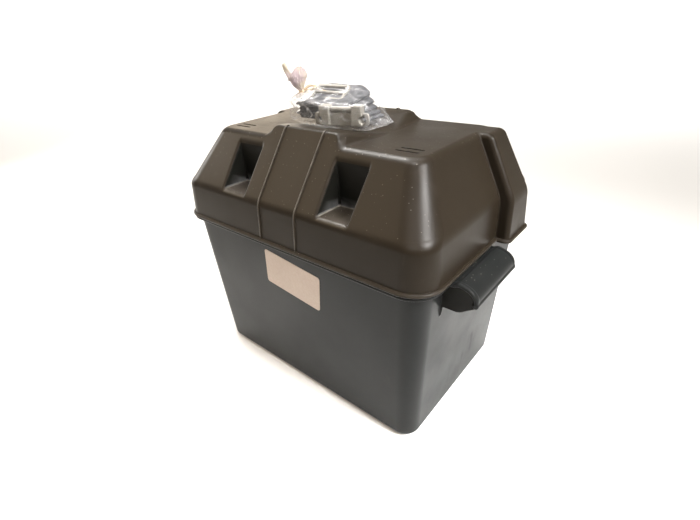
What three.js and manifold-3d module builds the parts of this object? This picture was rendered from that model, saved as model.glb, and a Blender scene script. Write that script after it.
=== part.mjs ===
// A moulded battery box: a drafted tub with two hollow lift handles, a vented lid with
// cable hoods, strap ribs, towers and finger pockets, a plain label, and a tied bag that
// holds the hold-down strap, its buckle, two floor brackets and their screws.
// Millimetres, +Z up. X runs along the box, the label side faces -Y, the floor is z = 0.

import * as THREE from 'three';
import { mergeVertices } from 'three/addons/utils/BufferGeometryUtils.js';
import { ConvexGeometry } from 'three/addons/geometries/ConvexGeometry.js';
import Module from 'manifold-3d';

const wasm = await Module();
wasm.setup();

// Driving sizes

const seatGap = 0.3; // clearance between pieces that rest on each other
const overrun = 4; // how far a cutting tool runs past the face that it cuts
const bite = 1; // how far a joined feature reaches into the wall that carries it
const cornerSteps = 7; // facets round one vertical corner
const softSteps = 4; // facets round one softened edge
const roundSteps = 12; // facets round a small bar or bead
const mergeRoom = 0.0001; // points closer together than this are one point

const tub = {
  baseLength: 290,
  baseWidth: 190,
  baseCorner: 17,
  baseEdge: 7,
  rimLength: 304,
  rimWidth: 204,
  rimCorner: 20,
  height: 182,
  wall: 3,
  floor: 3.4,
  flangeReach: 6.5,
  flangeThick: 3,
  upstand: 6,
  upstandStep: 1.4,
};

const lid = {
  fit: 1.5,
  wall: 2.6,
  flangeReach: 2.5,
  flangeThick: 3,
  shoulderRise: 38.7,
  shoulderInset: 3.25,
  shoulderSoft: 9,
  topRise: 90.2,
  endSlopeRun: 29.75,
  sideSlopeRun: 39.75,
  topCorner: 15,
  topSoft: 5,
};

const hood = {
  reach: 11.6,
  widthAtLip: 46,
  widthAtTop: 31,
  backInsetAtLip: 43.5,
  backInsetAtTop: 3.5,
  corner: 4.5,
  root: 30,
};

const tower = {
  rise: 9,
  footLength: 98,
  rampFootLength: 112,
  topLength: 80,
  topDepth: 7,
  valley: 15,
  root: 8,
};

const pocket = {
  near: 47,
  far: 82,
  floorRise: 41.7,
  depth: 33.25,
  corner: 2,
  draft: 1,
};

const rib = {
  strapRoom: 5,
  thick: 1.8,
  proud: 1.5,
};

const vent = {
  endInset: 12,
  sideInset: 16,
  length: 21.5,
  slot: 1.6,
  pitch: 8,
};

const handle = {
  frontInset: 33,
  span: 78,
  curl: 17.5,
  crestRise: 1.5,
  crestReach: 12,
  rootReach: 8.5,
  drop: 13,
  shell: 3,
  bead: 2.4,
  plate: 3,
  plateInset: 1.2,
  webDepth: 14.7,
  webReach: 16,
  gussetDrop: 10,
  gussetReach: 2,
  gussetThick: 2,
  arcSteps: 9,
};

const label = {
  length: 75,
  height: 41,
  thick: 0.35,
  corner: 3,
  fromAxis: 5.5,
  underRim: 36.3,
  tiltDegrees: -7,
};

const bag = {
  film: 0.7,
  fromMiddleX: -8,
  fromMiddleY: 2.5,
  neckAcross: 7,
  neckX: -38,
  neckY: -18,
  neckRise: 12.5,
  tailX: -56,
  tailY: -22,
  tailRise: 25,
};

const strap = {
  width: 38,
  thick: 1.2,
  run: 76,
  layers: 10,
  stepBack: 2.1,
};

const bracket = {
  length: 54,
  height: 11,
  thick: 3.2,
  loopLength: 42,
  loopHeight: 17.5,
  loopDepth: 9,
  post: 10,
  bar: 5,
  barDrop: 3.5,
  hole: 4.6,
  holeInset: 5.5,
  corner: 2.5,
  frontX: 25.4,
  backX: -10,
  frontSkewDegrees: 15,
};

const buckle = {
  length: 42,
  height: 20,
  thick: 3,
  side: 3,
  bar: 3.2,
  corner: 3,
  fromMiddle: -13,
  bars: 3,
  leanDegrees: 55,
};

const screw = {
  shank: 4,
  length: 19,
  headAcross: 8.4,
  headHeight: 2.6,
  recess: 3.6,
  recessDepth: 1.4,
  tip: 4,
  gap: 1,
};

// Heights and half sizes that follow from the driving sizes

const lidSeat = tub.height + seatGap;
const shoulderZ = lidSeat + lid.shoulderRise;
const topZ = lidSeat + lid.topRise;
const towerZ = topZ + tower.rise;
const pocketZ = lidSeat + pocket.floorRise;

// The lid's lip stands outside the tub's upstand by the fit and its own wall.
const lipStep = tub.upstandStep + lid.fit + lid.wall;
const lip = {
  halfX: tub.rimLength / 2 + lipStep,
  halfY: tub.rimWidth / 2 + lipStep,
  corner: tub.rimCorner + lipStep,
};
const shoulder = {
  halfX: lip.halfX - lid.shoulderInset,
  halfY: lip.halfY - lid.shoulderInset,
  corner: lip.corner - lid.shoulderInset,
};
const top = { halfX: shoulder.halfX - lid.endSlopeRun, halfY: shoulder.halfY - lid.sideSlopeRun };
const handleFront = -(tub.rimWidth / 2 - handle.frontInset);
const handleBack = handleFront + handle.span;

// Materials

const blackPlastic = new THREE.MeshStandardMaterial({ color: 0x3a3732, roughness: 0.42, metalness: 0 });
const tubPlastic = new THREE.MeshStandardMaterial({ color: 0x3c3e3d, roughness: 0.45, metalness: 0 });
const labelPaper = new THREE.MeshStandardMaterial({ color: 0xe6ddd4, roughness: 0.7, metalness: 0 });
const clearFilm = new THREE.MeshStandardMaterial({
  color: 0xdfe3e4, roughness: 0.15, metalness: 0, transparent: true, opacity: 0.35,
});
const greyPlastic = new THREE.MeshStandardMaterial({ color: 0xb9b6ae, roughness: 0.5, metalness: 0 });
const blackWebbing = new THREE.MeshStandardMaterial({ color: 0x2c2f36, roughness: 0.9, metalness: 0 });
const steel = new THREE.MeshStandardMaterial({ color: 0xb5b7ba, roughness: 0.3, metalness: 1 });

// Solids and geometries

function bareGeometry(geometry) {
  const bare = geometry.index ? geometry.toNonIndexed() : geometry.clone();
  for (const name of Object.keys(bare.attributes)) {
    if (name !== 'position') bare.deleteAttribute(name);
  }
  return mergeVertices(bare, mergeRoom);
}

function toSolid(geometry) {
  const bare = bareGeometry(geometry);
  const mesh = new wasm.Mesh({
    numProp: 3,
    vertProperties: Float32Array.from(bare.attributes.position.array),
    triVerts: Uint32Array.from(bare.index.array),
  });
  return new wasm.Manifold(mesh);
}

function toGeometry(solid) {
  const mesh = solid.getMesh();
  const geometry = new THREE.BufferGeometry();
  geometry.setAttribute('position', new THREE.BufferAttribute(Float32Array.from(mesh.vertProperties), 3));
  geometry.setIndex(new THREE.BufferAttribute(Uint32Array.from(mesh.triVerts), 1));
  geometry.computeVertexNormals();
  return geometry;
}

// Turns a geometry over to the other side of the box, and keeps its faces pointing out.
function mirrored(geometry, acrossX, acrossY) {
  const bare = bareGeometry(geometry);
  bare.scale(acrossX ? -1 : 1, acrossY ? -1 : 1, 1);
  if (acrossX !== acrossY) {
    const index = bare.index.array;
    for (let i = 0; i < index.length; i += 3) {
      [index[i], index[i + 1]] = [index[i + 1], index[i]];
    }
  }
  return bare;
}

function joinAll(solid, pieces) {
  return pieces.reduce((whole, piece) => whole.add(piece), solid);
}

function cutAll(solid, pieces) {
  return pieces.reduce((whole, piece) => whole.subtract(piece), solid);
}

// Lofts through rounded rectangles

// One station of a loft: a rounded rectangle at height z, centred at (x, y) unless moved.
function station(halfX, halfY, corner, z, x = 0, y = 0) {
  return { halfX, halfY, corner, z, x, y };
}

function between(a, b, share) {
  const mixed = {};
  for (const key of Object.keys(a)) {
    mixed[key] = a[key] + (b[key] - a[key]) * share;
  }
  return mixed;
}

const halfShare = 0.5;

// Replaces a sharp station by a short curve that starts and ends `soft` away from it.
function softened(before, sharp, after, soft) {
  const shareBefore = Math.min(soft / stationGap(before, sharp), halfShare);
  const shareAfter = Math.min(soft / stationGap(sharp, after), halfShare);
  const start = between(sharp, before, shareBefore);
  const end = between(sharp, after, shareAfter);
  const curve = [];
  for (let i = 0; i <= softSteps; i += 1) {
    const share = i / softSteps;
    curve.push(between(between(start, sharp, share), between(sharp, end, share), share));
  }
  return curve;
}

function stationGap(a, b) {
  return Math.hypot(a.z - b.z, a.halfY - b.halfY, a.halfX - b.halfX);
}

function ringPoints(ring) {
  const corner = Math.min(ring.corner, ring.halfX, ring.halfY);
  const points = [];
  for (let quarter = 0; quarter < 4; quarter += 1) {
    const signX = quarter === 0 || quarter === 3 ? 1 : -1;
    const signY = quarter < 2 ? 1 : -1;
    for (let i = 0; i <= cornerSteps; i += 1) {
      const angle = (quarter + i / cornerSteps) * Math.PI / 2;
      points.push(new THREE.Vector3(
        ring.x + signX * (ring.halfX - corner) + corner * Math.cos(angle),
        ring.y + signY * (ring.halfY - corner) + corner * Math.sin(angle),
        ring.z,
      ));
    }
  }
  return points;
}

// A closed body through the stations, which climb in z, with flat ends.
function loft(stations) {
  const rings = stations.map(ringPoints);
  const count = rings[0].length;
  const points = rings.flat();
  const first = stations[0];
  const last = stations[stations.length - 1];
  const under = points.push(new THREE.Vector3(first.x, first.y, first.z)) - 1;
  const over = points.push(new THREE.Vector3(last.x, last.y, last.z)) - 1;
  const index = [];
  for (let ring = 0; ring + 1 < rings.length; ring += 1) {
    for (let i = 0; i < count; i += 1) {
      const a = ring * count + i;
      const b = ring * count + (i + 1) % count;
      index.push(a, b, b + count, a, b + count, a + count);
    }
  }
  for (let i = 0; i < count; i += 1) {
    const next = (i + 1) % count;
    const lastRing = (rings.length - 1) * count;
    index.push(under, next, i, over, lastRing + i, lastRing + next);
  }
  const geometry = new THREE.BufferGeometry().setFromPoints(points);
  geometry.setIndex(index);
  return geometry;
}

// A flat outline given in (along, up) pairs, pushed across by its thickness.
function plateFromOutline(outline, thick) {
  const shape = new THREE.Shape(outline.map(([along, up]) => new THREE.Vector2(along, up)));
  return new THREE.ExtrudeGeometry(shape, { depth: thick, bevelEnabled: false });
}

// Stands such a plate upright with its outline in (x, z), from y = front towards +y.
function uprightAlongX(outline, front, thick) {
  const geometry = plateFromOutline(outline, thick);
  geometry.rotateX(Math.PI / 2);
  geometry.translate(0, front + thick, 0);
  return geometry;
}

// Stands such a plate upright with its outline in (y, z), centred on x.
function uprightAlongY(outline, x, thick) {
  const geometry = plateFromOutline(outline, thick);
  geometry.rotateX(Math.PI / 2);
  geometry.rotateZ(Math.PI / 2);
  geometry.translate(x - thick / 2, 0, 0);
  return geometry;
}

function box(sizeX, sizeY, sizeZ, x, y, z) {
  const geometry = new THREE.BoxGeometry(sizeX, sizeY, sizeZ);
  geometry.translate(x, y, z);
  return geometry;
}

function mesh(name, geometry, material) {
  const part = new THREE.Mesh(geometry, material);
  part.name = name;
  return part;
}

// Tub

// A station of the tub wall at a height, drawn in by `inset` for its inner face.
function tubStation(z, inset) {
  const share = z / tub.height;
  return station(
    (tub.baseLength + (tub.rimLength - tub.baseLength) * share) / 2 - inset,
    (tub.baseWidth + (tub.rimWidth - tub.baseWidth) * share) / 2 - inset,
    tub.baseCorner + (tub.rimCorner - tub.baseCorner) * share - inset,
    z,
  );
}

function tubBody(inset, floorZ, topHeight) {
  const foot = tubStation(floorZ, inset + tub.baseEdge);
  const heel = tubStation(floorZ, inset);
  const wallTop = tubStation(topHeight, inset);
  return [foot, ...softened(foot, heel, wallTop, tub.baseEdge), wallTop];
}

function tubUpstand(inset, from, to) {
  const rim = tubStation(tub.height, inset - tub.upstandStep);
  return loft([{ ...rim, z: from }, { ...rim, z: to }]);
}

function tubFlange() {
  const rim = tubStation(tub.height, -tub.flangeReach);
  return loft([{ ...rim, z: tub.height - tub.flangeThick }, rim]);
}

// The hollow grip at one end: a quarter-round shell beside the rim, a bead along its lower
// edge, an end plate at each side that reaches down the wall, and a gusset below each.
function handleOutline(inset) {
  const rimX = tub.rimLength / 2;
  const crestZ = tub.height + handle.crestRise;
  const startX = rimX + handle.crestReach;
  const reachX = handle.curl - inset;
  const rootZ = tub.height - inset;
  const outline = [[rimX - bite, rootZ], [rimX + handle.rootReach, rootZ]];
  for (let i = 0; i <= handle.arcSteps; i += 1) {
    const angle = Math.PI / 2 * (1 - i / handle.arcSteps);
    outline.push([
      startX + reachX * Math.cos(angle),
      crestZ - handle.drop + (handle.drop - inset) * Math.sin(angle),
    ]);
  }
  outline.push([startX + reachX, crestZ - handle.drop - handle.bead]);
  return outline;
}

function handleSolid() {
  const outer = handleOutline(0);
  const inner = handleOutline(handle.shell);
  const band = toSolid(uprightAlongX([...outer, ...inner.reverse()], handleFront, handle.span));
  const edge = outer[outer.length - 1];
  const bead = new THREE.CylinderGeometry(handle.bead, handle.bead, handle.span, roundSteps);
  bead.translate(edge[0], (handleFront + handleBack) / 2, edge[1]);
  const plateSpots = [handleFront + handle.plateInset, handleBack - handle.plateInset - handle.plate];
  const plates = plateSpots.map(
    (front) => toSolid(uprightAlongX(endPlateOutline(edge), front, handle.plate)),
  );
  const gussets = [handleFront, handleBack - handle.gussetThick].map((y) => toSolid(gussetGeometry(y)));
  return joinAll(band, [toSolid(bead), ...plates, ...gussets]);
}

function wallXAt(z) {
  return tubStation(z, 0).halfX;
}

function endPlateOutline(edge) {
  const webZ = edge[1] + handle.bead - handle.webDepth;
  const outer = handleOutline(0);
  return [
    [wallXAt(webZ) - bite, webZ],
    [wallXAt(webZ) + handle.webReach, webZ],
    [edge[0] - handle.bead, edge[1]],
    ...outer.slice(1).reverse(),
    outer[0],
  ];
}

function gussetGeometry(front) {
  const topHeight = tub.height + handle.crestRise - handle.drop - handle.webDepth;
  const outline = [
    [wallXAt(topHeight) - bite, topHeight + bite],
    [wallXAt(topHeight - handle.gussetDrop) - bite, topHeight - handle.gussetDrop],
    [wallXAt(topHeight - handle.gussetDrop) + handle.gussetReach / 2, topHeight - handle.gussetDrop],
    [wallXAt(topHeight) + handle.gussetReach, topHeight + bite],
  ];
  return uprightAlongX(outline, front, handle.gussetThick);
}

function tubGeometry() {
  const outside = toSolid(loft(tubBody(0, 0, tub.height)));
  const handleOne = handleSolid();
  const handleTwo = toSolid(mirrored(toGeometry(handleOne), true, false));
  const raised = toSolid(tubUpstand(0, tub.height - tub.flangeThick, tub.height + tub.upstand));
  const joined = joinAll(outside, [toSolid(tubFlange()), raised, handleOne, handleTwo]);
  const inside = toSolid(loft(tubBody(tub.wall, tub.floor, tub.height)));
  const mouth = toSolid(tubUpstand(tub.wall, tub.height - bite, tub.height + tub.upstand + overrun));
  return toGeometry(cutAll(joined, [inside, mouth]));
}

// Label

function roundedShape(length, height, corner) {
  const shape = new THREE.Shape();
  const x = length / 2;
  const y = height / 2;
  shape.moveTo(-x + corner, -y);
  shape.lineTo(x - corner, -y);
  shape.absarc(x - corner, -y + corner, corner, -Math.PI / 2, 0, false);
  shape.lineTo(x, y - corner);
  shape.absarc(x - corner, y - corner, corner, 0, Math.PI / 2, false);
  shape.lineTo(-x + corner, y);
  shape.absarc(-x + corner, y - corner, corner, Math.PI / 2, Math.PI, false);
  shape.lineTo(-x, -y + corner);
  shape.absarc(-x + corner, -y + corner, corner, Math.PI, 1.5 * Math.PI, false);
  return shape;
}

function labelMesh() {
  const shape = roundedShape(label.length, label.height, label.corner);
  const options = { depth: label.thick, bevelEnabled: false, curveSegments: cornerSteps };
  const geometry = new THREE.ExtrudeGeometry(shape, options);
  geometry.rotateZ(THREE.MathUtils.degToRad(label.tiltDegrees));
  geometry.rotateX(Math.PI / 2);
  const part = mesh('label', geometry, labelPaper);
  const draft = Math.atan2((tub.rimWidth - tub.baseWidth) / 2, tub.height);
  part.rotation.x = draft;
  const up = tub.height - label.underRim;
  part.position.set(label.fromAxis, -tubStation(up, 0).halfY - seatGap / 2, up);
  return part;
}

// Lid

// The main body of the lid: lip, shoulder, top edge and crown, with soft edges.
function lidStations(inset, lipZ) {
  const foot = station(lip.halfX - inset, lip.halfY - inset, lip.corner - inset, lipZ);
  const bend = station(
    shoulder.halfX - inset, shoulder.halfY - inset, shoulder.corner - inset, shoulderZ - inset / 2,
  );
  const corner = lid.topCorner - inset / 2;
  const edge = station(top.halfX - inset / 2, top.halfY - inset / 2, corner, topZ - inset);
  const crown = { ...edge, halfX: edge.halfX - 2 * lid.topSoft, halfY: edge.halfY - 2 * lid.topSoft };
  return [
    foot,
    ...softened(foot, bend, edge, lid.shoulderSoft),
    ...softened(bend, edge, crown, lid.topSoft),
  ];
}

// A cable hood at one end, as stations that follow the lid's own slope.
function hoodStation(z, inset, faceX, width, back) {
  const halfX = (hood.reach + hood.root) / 2 - inset / 2;
  return station(
    halfX,
    width / 2 - inset,
    Math.max(hood.corner - inset, bite),
    z,
    faceX + hood.reach - halfX - inset,
    back - width / 2,
  );
}

function hoodStations(inset, lipZ) {
  const riseShare = lid.shoulderRise / lid.topRise;
  const backAtLip = lip.halfY - hood.backInsetAtLip;
  const backAtTop = top.halfY - hood.backInsetAtTop;
  const foot = hoodStation(lipZ, inset, lip.halfX, hood.widthAtLip, backAtLip);
  const bend = hoodStation(
    shoulderZ - inset / 2, inset, shoulder.halfX,
    hood.widthAtLip + (hood.widthAtTop - hood.widthAtLip) * riseShare,
    backAtLip + (backAtTop - backAtLip) * riseShare,
  );
  const edge = hoodStation(topZ - inset, inset, top.halfX + inset / 2, hood.widthAtTop, backAtTop);
  const crown = {
    ...edge, halfX: edge.halfX - lid.topSoft, halfY: edge.halfY - lid.topSoft / 2,
  };
  return [
    foot,
    ...softened(foot, bend, edge, lid.shoulderSoft),
    ...softened(bend, edge, crown, lid.topSoft),
  ];
}

// Distance from the middle line of the box out to the sloping face, at a height.
function slopeYAt(z) {
  return shoulder.halfY - lid.sideSlopeRun * (z - shoulderZ) / (topZ - shoulderZ);
}

// The chamfered and rounded end of a tower: shares of its slant and of its rise.
const towerEndShares = [[1, 0], [0.36, 0.66], [0.1, 0.93], [-0.3, 1]];

// A strap tower: its outer face carries the lid's slope on upwards, and behind its narrow
// top a long ramp falls to the valley along the middle of the lid.
function towerGeometry(inset) {
  const crestY = slopeYAt(towerZ) - tower.topDepth;
  const points = [];
  const addRow = (z, outShare, rampY) => {
    const slant = (foot) => (tower.topLength + (foot - tower.topLength) * outShare) / 2 - inset;
    for (const side of [-1, 1]) {
      points.push(new THREE.Vector3(side * slant(tower.footLength), inset - slopeYAt(z), z - inset));
      points.push(new THREE.Vector3(side * slant(tower.rampFootLength), -rampY, z - inset));
    }
  };
  addRow(topZ - tower.root, 1, tower.valley / 2);
  for (const [outShare, upShare] of towerEndShares) {
    const rampY = tower.valley / 2 + (crestY - tower.valley / 2) * upShare;
    addRow(topZ + tower.rise * upShare, outShare, rampY);
  }
  return new ConvexGeometry(points);
}

// A finger pocket cut into the slope; grown by the wall, it shapes the inside of the lid.
function pocketGeometry(grow) {
  const middle = (pocket.near + pocket.far) / 2;
  const half = (pocket.far - pocket.near) / 2;
  const front = lip.halfY + overrun;
  const back = shoulder.halfY - pocket.depth;
  const halfY = (front - back) / 2;
  const y = -(front + back) / 2;
  return loft([
    station(half - pocket.draft + grow, halfY + grow, pocket.corner + grow, pocketZ - grow, middle, y),
    station(half + grow, halfY + grow, pocket.corner + grow, topZ, middle, y),
  ]);
}

// A strap rib: a thin fin that climbs skirt, slope and tower in one line.
function ribOutline() {
  const lipY = -lip.halfY;
  const shoulderY = -shoulder.halfY;
  const towerY = -slopeYAt(towerZ);
  const out = rib.proud;
  const ridge = towerZ + rib.proud;
  const backY = towerY + tower.topDepth / 2;
  return [
    [lipY - out, lidSeat + lid.flangeThick - bite],
    [shoulderY - out, shoulderZ],
    [towerY - out / 2, ridge],
    [backY, ridge],
    [backY, towerZ - bite],
    [towerY + bite, towerZ - bite],
    [shoulderY + bite, shoulderZ],
    [lipY + bite, lidSeat + lid.flangeThick - bite],
  ];
}

function ventGeometry(row) {
  const x = top.halfX - vent.endInset - vent.length / 2;
  const y = -(top.halfY - vent.sideInset) + row * vent.pitch;
  return box(vent.length, vent.slot, lid.wall + 2 * overrun, x, y, topZ);
}

// Both ends and both long sides carry the same features, as mirror images.
function onBothEnds(geometry) {
  return [toSolid(geometry), toSolid(mirrored(geometry, true, false))];
}

function onBothSides(geometry) {
  return [toSolid(geometry), toSolid(mirrored(geometry, false, true))];
}

function onFourQuarters(geometry) {
  return [...onBothEnds(geometry), ...onBothEnds(mirrored(geometry, false, true))];
}

function flangeSolids() {
  const reach = lid.flangeReach;
  const flangeTop = lidSeat + lid.flangeThick;
  const low = station(lip.halfX + reach, lip.halfY + reach, lip.corner + reach, lidSeat);
  const foot = hoodStations(0, lidSeat)[0];
  const hoodLow = {
    ...foot, halfX: foot.halfX + reach, halfY: foot.halfY + reach, corner: foot.corner + reach,
  };
  return [
    toSolid(loft([low, { ...low, z: flangeTop }])),
    ...onBothEnds(loft([hoodLow, { ...hoodLow, z: flangeTop }])),
  ];
}

function lidGeometry() {
  const outside = joinAll(toSolid(loft(lidStations(0, lidSeat))), [
    ...onBothEnds(loft(hoodStations(0, lidSeat))),
    ...flangeSolids(),
    ...onBothSides(towerGeometry(0)),
  ]);
  const pocketed = cutAll(outside, onFourQuarters(pocketGeometry(0)));
  const ribs = onFourQuarters(uprightAlongY(ribOutline(), strap.width / 2 + rib.strapRoom, rib.thick));
  const hollow = joinAll(toSolid(loft(lidStations(lid.wall, lidSeat - overrun))), [
    ...onBothEnds(loft(hoodStations(lid.wall, lidSeat - overrun))),
    ...onBothSides(towerGeometry(lid.wall)),
  ]);
  const core = cutAll(hollow, onFourQuarters(pocketGeometry(lid.wall)));
  const vents = [0, 1].flatMap((row) => onBothEnds(ventGeometry(row)));
  return toGeometry(cutAll(joinAll(pocketed, ribs), [core, ...vents]));
}

// Bag of fittings, lying between the towers. Its pieces are placed from the middle of the
// folded strap, on the bag's underside.

const puffAcrossShare = 1.5;
const puffUpShare = 0.45;

const insideFloor = bag.film + seatGap;
const strapPitch = strap.thick + seatGap;
const strapHeight = strap.layers * strapPitch - seatGap;

// The buckle leans on the strap, so it rises by its height and thickness on the slant.
const buckleLean = THREE.MathUtils.degToRad(buckle.leanDegrees);
const buckleRise = Math.cos(buckleLean) * buckle.height + Math.sin(buckleLean) * buckle.thick;

// The tied neck and the puff of film above it.
function tailStations(inset, over) {
  const half = bag.neckAcross / 2 - inset;
  const puffHalf = bag.neckAcross / 2 * puffAcrossShare - inset;
  const neckZ = insideFloor + strapHeight + bag.neckRise;
  const neck = station(half, half, half, neckZ, bag.neckX, bag.neckY);
  const end = station(half, half, half, neckZ + bag.tailRise, bag.tailX, bag.tailY);
  const puff = { ...between(neck, end, puffUpShare), halfX: puffHalf, halfY: puffHalf, corner: puffHalf };
  return [{ ...neck, z: neck.z - bite }, puff, { ...end, z: end.z + over }];
}

// The film is drawn tight over what it holds: the hull of the pieces, grown by a margin.
function filmSolid(pieces, margin, inset, over) {
  const tail = tailStations(inset, over);
  const points = ringPoints(tail[0]).map((point) => point.toArray());
  for (const piece of pieces) {
    piece.updateMatrix();
    const place = bareGeometry(piece.geometry).applyMatrix4(piece.matrix).attributes.position;
    for (let i = 0; i < place.count; i += 1) {
      const [x, y, z] = [place.getX(i), place.getY(i), place.getZ(i)];
      for (const way of [-margin, margin]) {
        points.push([x + way, y, z], [x, y + way, z], [x, y, z + way]);
      }
    }
  }
  return wasm.Manifold.hull(points).add(toSolid(loft(tail)));
}

function bagGeometry(pieces) {
  const outside = filmSolid(pieces, insideFloor, 0, 0);
  return toGeometry(outside.subtract(filmSolid(pieces, seatGap, bag.film, overrun)));
}

// The strap, folded back and forth in one unbroken ribbon, each turn short of the last.
function strapGeometry() {
  const turn = strapPitch / 2;
  const centre = [];
  for (let layer = 0; layer < strap.layers; layer += 1) {
    const direction = layer % 2 === 0 ? 1 : -1;
    const up = layer * strapPitch;
    const ends = [-strap.run / 2, strap.run / 2 - strap.stepBack * (layer + layer % 2)];
    const lastEnds = [ends[0], strap.run / 2 - strap.stepBack * (layer + 1 - layer % 2)];
    const [from, to] = direction > 0 ? [ends[0], lastEnds[1]] : [lastEnds[1], ends[0]];
    centre.push([from, up], [to, up]);
    for (let i = 1; i < softSteps && layer + 1 < strap.layers; i += 1) {
      const angle = Math.PI * i / softSteps;
      const along = to + direction * Math.sin(angle) * turn;
      centre.push([along, up + turn - Math.cos(angle) * turn]);
    }
  }
  return uprightAlongX(ribbonOutline(centre, strap.thick / 2), -strap.width / 2, strap.width);
}

// The outline of a ribbon that follows a line of [along, up] points.
function ribbonOutline(centre, half) {
  const points = centre.map(([along, up]) => new THREE.Vector2(along, up));
  const sides = points.map((point, i) => {
    const before = points[Math.max(i - 1, 0)];
    const after = points[Math.min(i + 1, points.length - 1)];
    const way = after.clone().sub(before).normalize();
    return new THREE.Vector2(-way.y, way.x).multiplyScalar(half);
  });
  const left = points.map((point, i) => [point.x + sides[i].x, point.y + sides[i].y]);
  const right = points.map((point, i) => [point.x - sides[i].x, point.y - sides[i].y]);
  return [...left, ...right.reverse()];
}

function flatPlate(shape, thick) {
  const options = { depth: thick, bevelEnabled: false, curveSegments: cornerSteps };
  const geometry = new THREE.ExtrudeGeometry(shape, options);
  geometry.translate(0, 0, -thick / 2);
  geometry.rotateX(Math.PI / 2);
  return geometry;
}

// A floor bracket, standing: a plate with a screw hole at each end, and two posts that
// hold a round bar for the strap.
function bracketGeometry() {
  const shape = roundedShape(bracket.length, bracket.height, bracket.corner);
  for (const side of [-1, 1]) {
    const hole = new THREE.Path();
    const x = side * (bracket.length / 2 - bracket.holeInset);
    hole.absarc(x, 0, bracket.hole / 2, 0, 2 * Math.PI, true);
    shape.holes.push(hole);
  }
  const rise = (bracket.loopHeight - bracket.height) / 2;
  const posts = [-1, 1].map((side) => toSolid(box(
    bracket.post, bracket.loopDepth, bracket.loopHeight,
    side * (bracket.loopLength - bracket.post) / 2, 0, rise,
  )));
  const bar = new THREE.CylinderGeometry(bracket.bar / 2, bracket.bar / 2, bracket.loopLength, roundSteps);
  bar.rotateZ(Math.PI / 2);
  bar.translate(0, 0, bracket.loopHeight - bracket.height / 2 - bracket.barDrop);
  return toGeometry(joinAll(toSolid(flatPlate(shape, bracket.thick)), [...posts, toSolid(bar)]));
}

// The buckle: a flat slide with bars that the strap is threaded round.
function buckleGeometry() {
  const shape = roundedShape(buckle.length, buckle.height, buckle.corner);
  const slotLength = buckle.length - 2 * buckle.side;
  const slotHeight = (buckle.height - buckle.bars * buckle.bar) / (buckle.bars - 1);
  for (const side of [-1, 1]) {
    const middle = side * (slotHeight + buckle.bar) / 2;
    shape.holes.push(new THREE.Path([
      new THREE.Vector2(-slotLength / 2, middle - slotHeight / 2),
      new THREE.Vector2(-slotLength / 2, middle + slotHeight / 2),
      new THREE.Vector2(slotLength / 2, middle + slotHeight / 2),
      new THREE.Vector2(slotLength / 2, middle - slotHeight / 2),
    ]));
  }
  return flatPlate(shape, buckle.thick);
}

// A countersunk screw, lying along X with its head towards +X.
function screwGeometry() {
  const profile = [
    [0, 0],
    [screw.shank / 2, screw.tip],
    [screw.shank / 2, screw.length - screw.headHeight],
    [screw.headAcross / 2, screw.length],
    [screw.recess / 2, screw.length],
    [0, screw.length - screw.recessDepth],
  ];
  const points = profile.map(([radius, along]) => new THREE.Vector2(radius, along));
  const geometry = new THREE.LatheGeometry(points, roundSteps);
  geometry.translate(0, -screw.length / 2, 0);
  geometry.rotateZ(-Math.PI / 2);
  return geometry;
}

function placed(part, x, y, z) {
  part.position.set(x, y, z);
  return part;
}

// A bracket stands along each long side of the strap, and the front one is askew.
function standingBracket(number, side, x, skewDegrees) {
  const skew = THREE.MathUtils.degToRad(skewDegrees);
  const askew = Math.sin(skew) * bracket.loopLength / 2 + Math.cos(skew) * bracket.loopDepth / 2;
  const part = mesh(`hold_down_bracket_${number}`, bracketGeometry(), greyPlastic);
  part.rotation.z = skew;
  return placed(part, x, side * (strap.width / 2 + seatGap + askew), insideFloor + bracket.height / 2);
}

// The screws lie across the left end of the strap, two on two.
function lyingScrew(number) {
  const place = number - 1;
  const part = mesh(`bracket_screw_${number}`, screwGeometry(), steel);
  part.rotation.z = Math.PI / 2;
  const x = -(strap.run + strapPitch + strap.thick + screw.headAcross) / 2 - seatGap;
  const y = (screw.length + screw.gap) * (place % 2 - halfShare);
  const layer = Math.floor(place / 2);
  return placed(part, x, y, insideFloor + screw.headAcross / 2 + layer * (screw.headAcross + seatGap));
}

function buckleMesh() {
  const part = mesh('strap_buckle', buckleGeometry(), greyPlastic);
  part.rotation.x = -buckleLean;
  return placed(part, buckle.fromMiddle, 0, insideFloor + strapHeight + seatGap + buckleRise / 2);
}

// The bag bridges the valley: the edge of its flat underside rests on the front ramp.
function bagLift(film) {
  film.computeBoundingBox();
  const edgeY = -(film.boundingBox.min.y + bag.fromMiddleY);
  const rampRun = slopeYAt(towerZ) - tower.topDepth - tower.valley / 2;
  return tower.rise * (edgeY - tower.valley / 2) / rampRun + seatGap;
}

function bagOfFittings() {
  const pieces = [
    placed(mesh('hold_down_strap', strapGeometry(), blackWebbing), 0, 0, insideFloor + strap.thick / 2),
    buckleMesh(),
    standingBracket(1, -1, bracket.frontX, bracket.frontSkewDegrees),
    standingBracket(2, 1, bracket.backX, 0),
    ...[1, 2, 3, 4].map(lyingScrew),
  ];
  const film = bagGeometry(pieces);
  const group = new THREE.Group();
  group.add(mesh('bag', film, clearFilm), ...pieces);
  return placed(group, bag.fromMiddleX, bag.fromMiddleY, topZ + bagLift(film));
}

// Assembly

const batteryBox = new THREE.Group();
batteryBox.add(mesh('tub', tubGeometry(), tubPlastic));
batteryBox.add(labelMesh());
batteryBox.add(mesh('lid', lidGeometry(), blackPlastic));
batteryBox.add(bagOfFittings());

export default batteryBox;
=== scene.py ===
# A moulded battery box dressed for pictures: smooth mouldings with real fillets, a clear
# tied bag of fittings on top, and a soft white studio. Lengths are in millimetres until a
# mesh is made, and in metres after that.

import math
from itertools import product

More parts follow.
